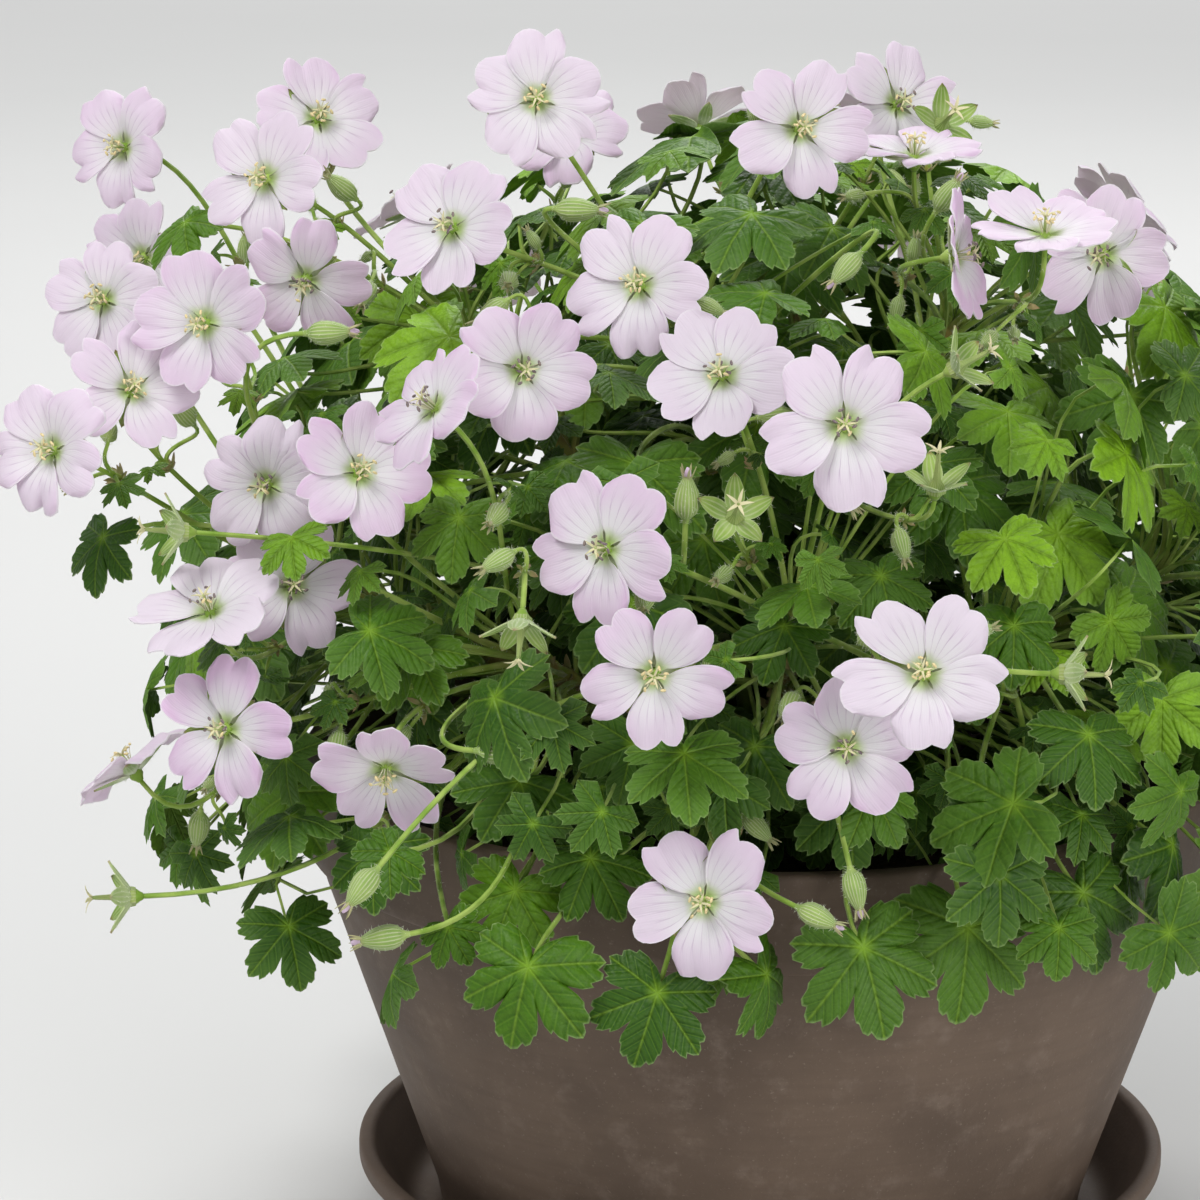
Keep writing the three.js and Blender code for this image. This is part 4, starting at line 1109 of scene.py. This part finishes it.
class StalkSettings(PropertyGroup):
    green: shade("Green", 0.17, 0.3, 0.022, "Colour of stems and sepals")
    light: shade("Light", 0.33, 0.45, 0.09, "Lighter green of stems and sepals")
    stripe: shade("Ribs", 0.55, 0.6, 0.34, "Colour of the ribs and margins of buds and sepals")
    joint: shade("Joint", 0.3, 0.11, 0.05, "Reddish brown of joints and awns")
    hair: shade("Hairs", 0.72, 0.76, 0.6, "Colour of the fine hairs")
    hairs: IntProperty(name="Hairs", description="Hairs on each stalk", default=44, min=1, max=400)
    hair_length: distance("Hair length", 0.0008, "Length of an average hair", min=0.0001, max=0.003)


class CentreSettings(PropertyGroup):
    filament: shade("Filaments", 0.7, 0.66, 0.5, "Colour of the filaments")
    style: shade("Style", 0.33, 0.45, 0.1, "Colour of the style and the beak")
    anther: shade("Anthers", 0.75, 0.62, 0.33, "Colour of fresh anthers")
    dusky: shade("Dusky anthers", 0.12, 0.09, 0.13, "Colour of ripe anthers")


class PotSettings(PropertyGroup):
    taupe: shade("Taupe", 0.148, 0.103, 0.073, "Main colour of the pot")
    dark: shade("Dark", 0.1, 0.069, 0.049, "Darker clouds of the pot")
    bloom: shade("Bloom", 0.26, 0.2, 0.16, "Pale bloom on the pot")
    speck: shade("Specks", 0.34, 0.28, 0.23, "Fine specks in the pot")
    lip: distance("Lip rounding", 0.0014, "Rounding of the rim's edges", min=0.0002, max=0.002)


class SoilSettings(PropertyGroup):
    soil: shade("Soil", 0.022, 0.014, 0.009, "Colour of the compost")
    crumb: shade("Crumbs", 0.06, 0.038, 0.024, "Colour of drier crumbs")
    fibre: shade("Fibres", 0.2, 0.14, 0.08, "Colour of the fibres")
    clods: IntProperty(name="Clods", description="Loose clods on the compost", default=260, min=0, max=1000)


class StageSettings(PropertyGroup):
    floor: shade("Floor", 0.64, 0.64, 0.63, "Colour of the floor")
    sky: FloatProperty(name="Sky", description="Brightness of light from all round", default=0.43, min=0)
    lens: FloatProperty(name="Lens", description="Focal length in millimetres", default=126, min=20)
    height: distance("Camera height", 0.3864, "Height of the camera above the floor")
    aside: distance("Camera aside", -0.039, "How far the camera stands to the right")
    away: distance("Camera distance", 0.9724, "How far the camera stands in front of the pot's middle")
    dip: FloatProperty(name="Camera dip", description="How far below the horizon the camera looks",
                       unit="ROTATION", default=math.radians(13.5))


class GeraniumSettings(PropertyGroup):
    petals: PointerProperty(type=PetalSettings)
    leaves: PointerProperty(type=LeafSettings)
    stalks: PointerProperty(type=StalkSettings)
    centres: PointerProperty(type=CentreSettings)
    pot: PointerProperty(type=PotSettings)
    soil: PointerProperty(type=SoilSettings)
    stage: PointerProperty(type=StageSettings)


# ---- pieces -------------------------------------------------------------------------------------------

BODY = "root"
# Blooms, counted from 0 in the frame's order, that blush more or less than the rest.
FLUSHES = {21: 1.35, 8: 0.5, 18: 1.2, 29: 1.8, 4: 1.0, 19: 0.15, 26: 0.2, 13: 0.3, 14: 0.5, 23: 0.95}
# The rows of a large leaf and of a small one, as (share of its radius, 1 underneath or 0 on top).
ROWS = ((0, 1), (0.55, 1), (1, 1), (1, 0), (0.86, 0), (0.66, 0), (0.44, 0), (0.2, 0), (0, 0))
FEW_ROWS = ((0, 1), (1, 0.5), (0.55, 0), (0, 0))
# Small turned pieces, as (distance, height) about a head's facing, in millimetres.
RECEPTACLE = (
    (0, -1.3), (0.75, -1.2), (1.1, -0.5), (1.7, 0.3), (1.75, 1.1), (1.25, 2.1), (0.7, 2.9), (0, 3),
)
BUD = (
    (0, -5.2), (0.6, -5), (0.72, -4.3), (1.2, -3.7), (1.95, -2.9), (2.35, -1.7), (2.4, -0.3), (2.15, 1.2),
    (1.65, 2.6), (1.1, 3.7), (0.7, 4.5), (0.4, 5), (0, 5.1),
)
BUD_TIP = ((0, 3.6), (0.62, 3.9), (0.7, 4.8), (0.55, 5.6), (0.3, 6.2), (0, 6.4))
BEAK = (
    (0, 0.2), (1.9, 0.4), (2.1, 1.4), (1.6, 2.4), (0.85, 3.6), (0.6, 6), (0.45, 9), (0.3, 10.1), (0, 10.3),
)
STYLE = ((0, 2.5), (0.45, 2.7), (0.36, 5), (0.28, 6.5), (0, 6.6))
# Stalks, as (kind, rings, sides, radii at foot and neck, whether they have hairs).
STALKS = (
    ("leaf", 16, 6, (0.8, 0.55), True), ("bloom", 20, 6, (0.72, 0.6), True),
    ("bud", 26, 6, (0.65, 0.6), True), ("spent", 26, 6, (0.6, 0.58), True),
    ("side bud", 14, 6, (0.55, 0.45), True), ("under", 11, 4, (0.58, 0.4), False),
)
SWAY = 0.7  # how far a stalk may sway from its curve
FOOT = {"swell": 0.5, "over": 0.09}  # how a stalk swells at its foot, over a share of its length
STEM_RADII, STEM_SIDES = (1.9, 1.1), 10
STEM_ROOT = (14, 12)  # how deep a main stem's pole and its first ring stand in the compost
# How a main stem swells at a joint, and how long the stipules are there and where a stalk forks.
JOINT = {"swell": 0.45, "spread": 2.6, "stipule": 4.6, "fork_stipule": 3.0}
SEPAL_LENGTH, SEPAL_RINGS, COLLAR_RINGS = 8.6, 9, 4
HAIR_RADII, HAIR_TINT = np.array((0.0, 0.045, 0.0)), (0, 1, 0)
# Each group of pieces has random draws of its own.
SEEDS = {"soil": 11, "stalks": 21, "leaves": 31, "petals": 41, "centres": 51, "fork": 61, "under": 71}
# The compost's radii at the foot, the pot's band, its edge and its top, the rings of its top, the waves that
# raise it and how far out it has clods.
SOIL = {
    "foot": POT["foot"] - 4.6, "band": 99, "edge": 102.6, "top": 102, "rings": 44, "waves": 40, "clods": 98,
}
POT_SIDES, ROUND_STEPS = 144, 5
FLOOR_HALF, FLOOR_TOP = 4.0, -0.0002  # in metres


@functools.cache
def grown():
    """The plant, grown once for every piece. Its blooms have to stand where the frame has them."""
    plant = Plant()
    plant.grow()
    for i, bloom in enumerate(plant.of("bloom")):
        name = numbered("bloom", i)
        low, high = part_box(name)
        middle = (bloom.at + bloom.axes[2] * SEAT) * MM
        if not all(l - MM < x < h + MM for l, x, h in zip(low, middle, high)):
            raise RuntimeError(name + " isn't where its petals would stand")
    plant.fork()
    for leaves in UNDER_LEAVES:
        plant.fill_under(**leaves)
    return plant


def numbered(name, i):
    """The name of the i-th piece of a kind, as the frame counts them."""
    return f"{name}_{i + 1:02d}"


def finish_piece(skin, name, material, nodes, sharp=50):
    """Makes a skin a piece that rides on the one body and stands for CAD nodes."""
    piece = bpy.data.objects.new(name, skin.mesh(name, sharp))
    bpy.context.scene.collection.objects.link(piece)
    piece.data.materials.append(material)
    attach(piece, BODY)
    if nodes:
        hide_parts(*nodes)


def rounded(corners):
    """A profile of (distance, height, rounding) corners, with each corner eased by a parabola."""
    spots = np.array([c[:2] for c in corners], float)
    points = [spots[0]]
    for i in range(1, len(spots) - 1):
        back, on = spots[i - 1] - spots[i], spots[i + 1] - spots[i]
        low, high = (
            spots[i] + unit(way) * min(corners[i][2], np.linalg.norm(way) * 0.45) for way in (back, on)
        )
        points.extend(bezier((low, spots[i], high), np.linspace(0, 1, ROUND_STEPS)))
    return np.array([*points, spots[-1]])


def turned(profile):
    """A profile of (distance, height) turned about the pot's axis."""
    r, z = np.array(profile).T
    turn = np.arange(POT_SIDES) * 2 * math.pi / POT_SIDES
    return vectors(r[:, None] * np.cos(turn), r[:, None] * np.sin(turn), z[:, None])[None]


class PieceOperator(Operator):
    """What every operator here shares"""
    bl_options = {"REGISTER", "UNDO"}

    @classmethod
    def poll(cls, context):
        return hasattr(context.scene, "geranium")


class GERANIUM_OT_saucer(PieceOperator):
    """Turn the saucer that the pot stands in"""
    bl_idname = "geranium.saucer"
    bl_label = "Saucer"

    def execute(self, context):
        s = context.scene.geranium.pot
        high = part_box("saucer")[1]
        rim, top = (1 / MM * side for side in (high.x, high.z))
        lip = s.lip / MM
        # From the middle of the underside, up the wall and its rolled rim, and down to the floor's middle.
        profile = rounded((
            (0, 0, 0), (rim - 17, 0, 0), (rim - 12, 0, 1.5), (rim - 2, top - 5, 1.5), (rim, top - 4.2, 0.7),
            (rim, top, lip), (rim - 3.4, top, lip), (rim - 13, 3, 4), (rim - 20, 3, 1), (0, 3, 0),
        ))
        skin = Skin()
        skin.add(turned(profile))
        finish_piece(skin, "turned_saucer", clay_paint("saucer_ware", s, 0.35), ["saucer"])
        return {"FINISHED"}


class GERANIUM_OT_pot(PieceOperator):
    """Turn the pot, with its rolled band and tapered wall"""
    bl_idname = "geranium.pot"
    bl_label = "Pot"

    def execute(self, context):
        s = context.scene.geranium.pot
        low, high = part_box("pot")
        base, rim, top = low.z / MM, high.x / MM, high.z / MM
        band = top - POT["band"]
        lip = s.lip / MM
        foot, inside, shoulder = POT["foot"], POT["inside"], rim - POT["step"]
        # From the middle of the foot, up the wall to the band and its rim, and down to the floor's middle.
        profile = rounded((
            (0, base, 0), (foot - 6, base, 0), (foot - 3, base, 1), (foot, base + 1.2, 1.5),
            (foot + 1.2, base + 8, 1), (shoulder - 0.6, band - 6, 1), (shoulder, band - 0.4, 0.6),
            (rim - 0.6, band + 0.4, 0.8), (rim - 0.2, band + 3.2, 0.5), (rim, top - 3, 1),
            (rim - 0.1, top, lip), (inside, top, lip), (shoulder - 4, band - 2, 3), (foot - 3, base + 6, 3),
            (0, base + 6, 0),
        ))
        skin = Skin()
        skin.add(turned(profile))
        finish_piece(skin, "turned_pot", clay_paint("pot_ware", s, 0.0), ["pot"])
        return {"FINISHED"}


class GERANIUM_OT_soil(PieceOperator):
    """Fill the pot with crumbly compost: a disc raised by a sum of plane waves, with clods on it"""
    bl_idname = "geranium.soil"
    bl_label = "Compost"

    def execute(self, context):
        s = context.scene.geranium.soil
        rng = np.random.default_rng(SEEDS["soil"])
        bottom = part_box("soil")[0].z / MM
        band = RIM_TOP - POT["band"] - 3
        walls = np.array((
            (0, bottom), (SOIL["foot"], bottom), (SOIL["band"], band), (SOIL["edge"], SOIL_TOP - 1),
        ))
        r = np.concatenate((walls[:, 0], np.linspace(SOIL["top"], 0, SOIL["rings"])))
        skin = Skin()
        points = turned(np.column_stack((r, np.full(len(r), SOIL_TOP - 1.6))))
        waves = rng.normal(size=(SOIL["waves"], 2)) * rng.uniform(0.15, 1.1, (SOIL["waves"], 1))
        starts = phases(rng, SOIL["waves"])

        def lumps(x, y):
            return np.sin(x[..., None] * waves[:, 0] + y[..., None] * waves[:, 1] + starts).sum(-1) * 0.13

        points[..., 2] += lumps(points[..., 0], points[..., 1])
        points[0, :len(walls), :, 2] = walls[:, 1:]
        skin.add(points)
        far, turn = SOIL["clods"] * np.sqrt(rng.uniform(0, 1, s.clods)), phases(rng, s.clods)
        x, y = far * np.cos(turn), far * np.sin(turn)
        size = rng.uniform(0.7, 2.0, (s.clods, 1, 1))
        path = vectors(x, y, SOIL_TOP - 1.4 + lumps(x, y))[:, None]
        path = path + vectors(0, 0, np.linspace(-1, 1, 5)) * size
        clods = tubes(path, size[..., 0] * np.array((0, 0.8, 1, 0.7, 0)), 6)
        skin.add(clods + rng.normal(size=clods.shape) * 0.14 * size[..., None])
        finish_piece(skin, "crumbly_compost", soil_paint(s), ["soil"], sharp=180)
        return {"FINISHED"}


def add_stalks(skin, heads, rings, sides, radii, rng, hairs, hair_length):
    """Stalks along smooth ways that sway as a squared sine, with a point past each end for the poles. They
    swell where they leave their stem, and have a number of hairs each."""
    if not heads:
        return
    t = np.linspace(0, 1, rings)
    paths = bezier(np.array([h.corners for h in heads]), t)
    paths = paths + unit(rng.normal(size=(len(heads), 1, 3))) * (np.sin(math.pi * t) ** 2 * SWAY)[:, None]
    sink = 0.1 if heads[0].kind == "leaf" else 0.6
    ends = np.array([h.at - h.axes[2] * sink for h in heads])
    paths = np.concatenate((between(paths[:, :1], paths[:, 1:2], -0.1), paths, ends[:, None]), 1)
    far = between(*radii, t) * (1 + FOOT["swell"] * np.exp(-((t / FOOT["over"]) ** 2)))
    points = tubes(paths, np.concatenate(([0], far, [0])), sides)
    red = np.concatenate(([1], np.exp(-t * 9), [0]))[:, None] * rng.uniform(0.1, 0.75, (len(heads), 1, 1))
    place = vectors(0, np.concatenate(([0], t, [1]))[:, None], 0)
    skin.add(points, place, vectors(red, 0, 0))
    if hairs:
        add_hairs(skin, points, paths, hairs * len(heads), hair_length, rng)


def add_collars(skin, spots, ways, rng, stipule, count=4):
    """A collar of small stipules at each joint, leaning out from the stem's way."""
    if not len(spots):
        return
    turns = np.arange(count) * 2 * math.pi / count + phases(rng, (len(spots), 1))
    side = unit(np.cross(ways, np.where(abs(ways[:, 2:]) > 0.9, (1.0, 0, 0), UP)))
    beside = np.cross(ways, side)
    out = side[:, None] * np.cos(turns)[..., None] + beside[:, None] * np.sin(turns)[..., None]
    x = unit(out + ways[:, None] * rng.uniform(0.3, 1.1, (*turns.shape, 1)))
    y = unit(np.cross(ways[:, None], out))
    axes = np.stack((x, y, np.cross(x, y)), -2).reshape(-1, 3, 3)
    at = (spots[:, None] + out * 0.5).reshape(-1, 3)
    size = stipule * rng.uniform(0.7, 1.25, len(at))
    points, place, _ = lances(at, axes, size, size * 0.2, 0.12, thick=0.3, rings=COLLAR_RINGS, across=3)
    v = np.linspace(0, 1, COLLAR_RINGS)[:, None]
    skin.add(points, place, vectors(0.35 + 0.6 * v, 0.12, 0.0), "strips")


def add_calyxes(skin, heads, rng, hair_length, tilt=9, width=1.75, slope=0.02, painted_light_foot=0.6):
    """Five hollow pointed sepals round a receptacle, flat under petals with pale feet of painted light, and
    tilted up and green round a beak."""
    if not heads:
        return
    skin.add(turned_about(RECEPTACLE, heads, folds=0.05)[0])
    at, axes = spread_round(heads, 5, first=36, r=1.1, z=1.15, tilt=tilt)
    long = SEPAL_LENGTH * rng.uniform(0.95, 1.05, len(at))
    bend = slope + 0.02 * rng.normal(size=len(at))
    points, place, under = lances(at, axes, long, width, bend, rings=SEPAL_RINGS, fill=0.78)
    v = np.linspace(0, 1, SEPAL_RINGS)[:, None]
    # Painted light: the feet of sepals, which lie in shade under the petals, are paled. Spent calyxes get
    # little of it.
    pale = 0.05 + 0.2 * under + painted_light_foot * (1 - eased(v, 0.25, 0.5))
    skin.add(points, place, vectors(eased(v, 0.86, 1) * 0.8, pale, 0.65), "strips")
    add_hairs(skin, points, points.mean(2) + axes[:, None, 2] * 0.4, 22 * len(at), hair_length, rng)


def add_buds(skin, heads, rng, hair_length):
    """Ribbed spindles of folded sepals, with five awns at the tip."""
    if not heads:
        return
    points, place = turned_about(BUD, heads, folds=0.08, sides=20)
    z = np.array(BUD)[:, 1:]
    skin.add(points, place, vectors(eased(z, 4, 5) * 0.5, 0.1, eased(z, -4, -3)))
    at, axes = places(heads)
    middles = at[:, None] + axes[:, 2][:, None] * z * sizes(heads)[:, None, None]
    add_hairs(skin, points, middles, 90 * len(heads), hair_length * 1.2, rng)
    size = sizes(heads)[:, None]
    at, axes = spread_round(heads, 5, first=0, r=0.5 * size, z=4.0 * size, tilt=62)
    length = 2.9 * np.repeat(size, 5)
    points, place, _ = lances(at, axes, length, width=0.3, slope=0.1, thick=0.3, rings=4, across=3)
    skin.add(points, place, (0.6, 0.25, 0.0), "strips")


def add_stem(skin, stem, joints, ways, rng, hairs, hair_length):
    """A main stem along its curve from its foot in the compost. It swells at its joints as a bell curve
    does, and has a collar of stipules at each."""
    t = np.linspace(0, 1, 44)
    path = bezier(stem, t)
    root = path[0] - UP * np.array(STEM_ROOT)[:, None]
    path = np.concatenate((root, path, [between(path[-2], path[-1], 1.2)]))
    near = np.exp(-(np.linalg.norm(path[:, None] - joints, axis=-1).min(1) / JOINT["spread"]) ** 2)
    far = np.concatenate(([0, STEM_RADII[0]], between(*STEM_RADII, t), [0])) * (1 + JOINT["swell"] * near)
    points = tubes(path[None], far, STEM_SIDES)
    skin.add(points, tint=vectors(near[:, None] * 0.8, 0, 0))
    add_hairs(skin, points, path[None], hairs * 4, hair_length, rng)
    add_collars(skin, joints, ways, rng, JOINT["stipule"])


class GERANIUM_OT_stalks(PieceOperator):
    """Grow the stems with their joints, stalks, stipules, sepals, buds and fine hairs"""
    bl_idname = "geranium.stalks"
    bl_label = "Stems and stalks"

    def execute(self, context):
        s = context.scene.geranium.stalks
        plant, paint, hair = grown(), stalk_paint(s), s.hair_length / MM
        rng = np.random.default_rng(SEEDS["stalks"])
        for i, stem in enumerate(plant.stems):
            skin = Skin()
            bears = plant.used[i] > 0
            add_stem(skin, stem, plant.node_at[i][bears], plant.node_grows[i][bears], rng, s.hairs, hair)
            for kind, rings, sides, radii, hairy in STALKS:
                add_stalks(skin, plant.of(kind, i), rings, sides, radii, rng, s.hairs * hairy, hair)
            spent, side_buds = plant.of("spent", i), plant.of("side bud", i)
            add_calyxes(skin, plant.of("bloom", i), rng, hair)
            add_calyxes(skin, spent, rng, hair, tilt=36, width=2.15, slope=-0.05, painted_light_foot=0.1)
            add_buds(skin, plant.of("bud", i) + side_buds, rng, hair)
            if spent:
                skin.add(*turned_about(BEAK, spent, folds=0.12), (0.15, 0.1, 0.5))
            if side_buds:
                forks, after = np.array([b.corners[:2] for b in side_buds]).swapaxes(0, 1)
                add_collars(skin, forks, unit(after - forks), rng, JOINT["fork_stipule"], count=5)
            nodes = [numbered("leafy_stem", i)]
            finish_piece(skin, numbered("stalks", i), paint, nodes, sharp=60)
        return {"FINISHED"}


class GERANIUM_OT_leaves(PieceOperator):
    """Spread the palmate leaves of each stem, with the small ones that fill the mound"""
    bl_idname = "geranium.leaves"
    bl_label = "Leaves"

    def execute(self, context):
        s = context.scene.geranium.leaves
        plant, paint = grown(), leaf_paint(s)
        rng = np.random.default_rng(SEEDS["leaves"])
        for i in range(len(plant.stems)):
            skin = Skin()
            under = plant.of("under", i)
            for leaves, edge, rows in (
                (plant.of("leaf", i), TOOTHED_EDGE, ROWS),
                ([h for h in under if h.radius > s.fine_from / MM], TOOTHED_EDGE, FEW_ROWS),
                ([h for h in under if h.radius <= s.fine_from / MM], PLAIN_EDGE, FEW_ROWS),
            ):
                if leaves:
                    skin.add(*blades(leaves, edge, rows, rng, self.ages_with_painted_light(leaves, s.young_share, rng)))
            nodes = [numbered("leafy_stem", i)]
            finish_piece(skin, numbered("leaves", i), paint, nodes, sharp=55)
        return {"FINISHED"}

    def ages_with_painted_light(self, leaves, young_share, rng):
        """From 0 for an old leaf to 1 for a young one: younger high up. As painted light, leaves to the
        right are made younger and lighter, and as painted shade, those deep inside older and darker.
        """
        spots, _ = places(leaves)
        far = np.linalg.norm(spots - UP * MOUND["base"], axis=1) / MOUND["across"]
        age_and_painted_light = young_share + 0.32 * rng.normal(size=len(leaves))
        # Painted shade: leaves deep inside the mound are made older and darker.
        age_and_painted_light = age_and_painted_light + 0.4 * eased(spots[:, 2], 130, 260) - 0.2 - 0.4 * (1 - eased(far, 0.5, 0.9))
        # Painted light: leaves to the right are made younger and lighter.
        return (age_and_painted_light + 0.15 * eased(spots[:, 0], 20, 110)).clip(0, 1)


class GERANIUM_OT_petals(PieceOperator):
    """Open the petals of each stem's blooms, and the pink tips of its buds"""
    bl_idname = "geranium.petals"
    bl_label = "Petals"

    def execute(self, context):
        s = context.scene.geranium.petals
        plant, paint = grown(), petal_paint(s)
        blooms = plant.of("bloom")
        rng = np.random.default_rng(SEEDS["petals"])
        flush = (s.mean_flush + 0.2 * rng.normal(size=len(blooms))).clip(0.25, 1.0)
        flush[list(FLUSHES)] = list(FLUSHES.values())
        for i in range(len(plant.stems)):
            numbers = [k for k, h in enumerate(blooms) if h.stem == i]
            if not numbers:
                continue
            skin = Skin()
            skin.add(*petals(plant.of("bloom", i), rng, flush[numbers]), "strips")
            buds = plant.of("bud", i)
            if buds:
                skin.add(turned_about(BUD_TIP, buds, folds=0.1)[0], (0.2, 0.75, 0.5), (1.5, 0.0, 0.5))
            nodes = [numbered("bloom", k) for k in numbers]
            finish_piece(skin, numbered("petals", i), paint, nodes)
        return {"FINISHED"}


class GERANIUM_OT_centres(PieceOperator):
    """Set ten stamens and a five-armed style in every bloom, and stigmas on every beak"""
    bl_idname = "geranium.centres"
    bl_label = "Stamens and styles"

    def execute(self, context):
        blooms, spent = grown().of("bloom"), grown().of("spent")
        skin = Skin()
        self.add_stamens(skin, blooms, np.random.default_rng(SEEDS["centres"]))
        skin.add(turned_about(STYLE, blooms, folds=0.1)[0], tint=(0, 0, 0.85))
        for heads, height, long, width in ((blooms, 6.3, 2.1, 0.24), (spent, 9.8, 2.7, 0.38)):
            at, axes = spread_round(heads, 5, first=18, r=0.15, z=height * sizes(heads)[:, None], tilt=62)
            points, place, _ = lances(at, axes, long, width, -0.75, rings=7, thick=0.36, fill=0.7, across=3)
            skin.add(points, place, (0.35, 0, 0.3), "strips")
        paint = centre_paint(context.scene.geranium.centres)
        finish_piece(skin, "stamens_and_styles", paint, [], sharp=70)
        return {"FINISHED"}

    def add_stamens(self, skin, blooms, rng):
        """Filaments curve out from the foot of the style, and each carries an anther across its end."""
        shape = (len(blooms), 10, 1)
        turn = np.radians(np.arange(10) * 36)[:, None] + 0.12 * rng.normal(size=shape)
        long = np.arange(10)[:, None] % 2
        out = 1.5 + 1.1 * long + 0.35 * rng.normal(size=shape)
        high = 5.7 + 1.3 * long + 0.4 * rng.normal(size=shape)
        r = np.concatenate((0.7 + 0 * out, 0.9 + 0 * out, out * 0.75, out), 2)
        z = np.concatenate((2.2 + 0 * high, 4.2 + 0 * high, high * 0.92, high), 2)
        corners = vectors(r * np.cos(turn), r * np.sin(turn), z)
        t = np.linspace(0, 1, 6)
        paths = stand(bezier(corners, t), *places(blooms)).reshape(-1, len(t), 3)
        skin.add(tubes(paths, np.array((0, 0.15, 0.14, 0.12, 0.1, 0)), 4), tint=(0, 0, 0.1))
        way = unit(np.cross(paths[:, -1] - paths[:, -2], rng.normal(size=(len(paths), 3))))
        length = np.array((-1, -0.72, 0, 0.72, 1))[:, None] * 0.7
        anthers = tubes(paths[:, -1:] + way[:, None] * length, np.array((0, 0.24, 0.34, 0.24, 0)), 6)
        dusky = np.repeat(rng.uniform(0, 1, len(blooms)) < 0.4, 10) & (rng.uniform(0, 1, len(paths)) < 0.8)
        skin.add(anthers, tint=vectors(1, dusky * 1.0, 0)[:, None, None])


class GERANIUM_OT_stage(PieceOperator):
    """Set the floor, the soft lights and the camera"""
    bl_idname = "geranium.stage"
    bl_label = "Stage"

    def execute(self, context):
        s = context.scene.geranium.stage
        floor = bpy.data.meshes.new("pale_floor")
        corners = ((-1, -1), (1, -1), (1, 1), (-1, 1))
        points = [(x * FLOOR_HALF, y * FLOOR_HALF, FLOOR_TOP) for x, y in corners]
        floor.from_pydata(points, [], [(0, 1, 2, 3)])
        floor.materials.append(floor_paint(s))
        piece = bpy.data.objects.new("pale_floor", floor)
        context.scene.collection.objects.link(piece)
        middle = Vector((0, 0, 0.18))
        # Round lights, each with its place, what it faces, and its width in metres and power in watts.
        for name, spot, target, width, power in (
            ("key_light", (-0.9, -0.7, 1.8), middle, 0.9, 26),
            ("fill_light", (1.3, -1.6, 0.75), middle, 1.4, 21),
            ("back_light", (0.3, 1.5, 1.5), middle, 1.3, 14),
            ("floor_light", (0, 3.4, 3.2), Vector((0, 3.6, 0)), 3.0, 75),
        ):
            light = bpy.data.lights.new(name, "AREA")
            light.shape, light.size, light.energy = "DISK", width, power
            lamp = bpy.data.objects.new(name, light)
            lamp.location = spot
            lamp.rotation_euler = (target - Vector(spot)).to_track_quat("-Z", "Y").to_euler()
            context.scene.collection.objects.link(lamp)
        world = bpy.data.worlds.new("soft_sky")
        world.use_nodes = True
        sky = world.node_tree.nodes["Background"].inputs
        sky["Color"].default_value = (0.97, 0.98, 1.0, 1.0)
        sky["Strength"].default_value = s.sky
        context.scene.world = world
        context.scene.view_settings.view_transform = "Standard"
        camera = bpy.data.objects.new("camera", bpy.data.cameras.new("camera"))
        camera.data.sensor_width, camera.data.lens = 36, s.lens
        camera.location = (s.aside, -s.away, s.height)
        camera.rotation_euler = (math.pi / 2 - s.dip, 0, 0)
        context.scene.collection.objects.link(camera)
        context.scene.camera = camera
        return {"FINISHED"}


class GERANIUM_PT_panel(Panel):
    """Lists the pieces in the order that they are made"""
    bl_idname = "GERANIUM_PT_panel"
    bl_label = "Geranium"
    bl_space_type = "VIEW_3D"
    bl_region_type = "UI"
    bl_category = "Geranium"

    def draw(self, context):
        for operator in OPERATORS:
            self.layout.operator(operator.bl_idname)
        for group in GeraniumSettings.__annotations__:
            box = self.layout.box()
            box.label(text=group.capitalize())
            settings = getattr(context.scene.geranium, group)
            for name in settings.__annotations__:
                box.prop(settings, name)


GROUPS = (
    PetalSettings, LeafSettings, StalkSettings, CentreSettings, PotSettings, SoilSettings, StageSettings,
    GeraniumSettings,
)
OPERATORS = (
    GERANIUM_OT_saucer, GERANIUM_OT_pot, GERANIUM_OT_soil, GERANIUM_OT_stalks, GERANIUM_OT_leaves,
    GERANIUM_OT_petals, GERANIUM_OT_centres, GERANIUM_OT_stage,
)
CLASSES = (*GROUPS, *OPERATORS, GERANIUM_PT_panel)


def register():
    for cls in CLASSES:
        bpy.utils.register_class(cls)
    bpy.types.Scene.geranium = PointerProperty(type=GeraniumSettings)


def unregister():
    del bpy.types.Scene.geranium
    for cls in reversed(CLASSES):
        bpy.utils.unregister_class(cls)


def main():
    """Makes every piece in order."""
    register()
    for operator in OPERATORS:
        getattr(bpy.ops.geranium, operator.bl_idname.split(".")[1])()
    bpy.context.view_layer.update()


if __name__ == "__main__":
    main()
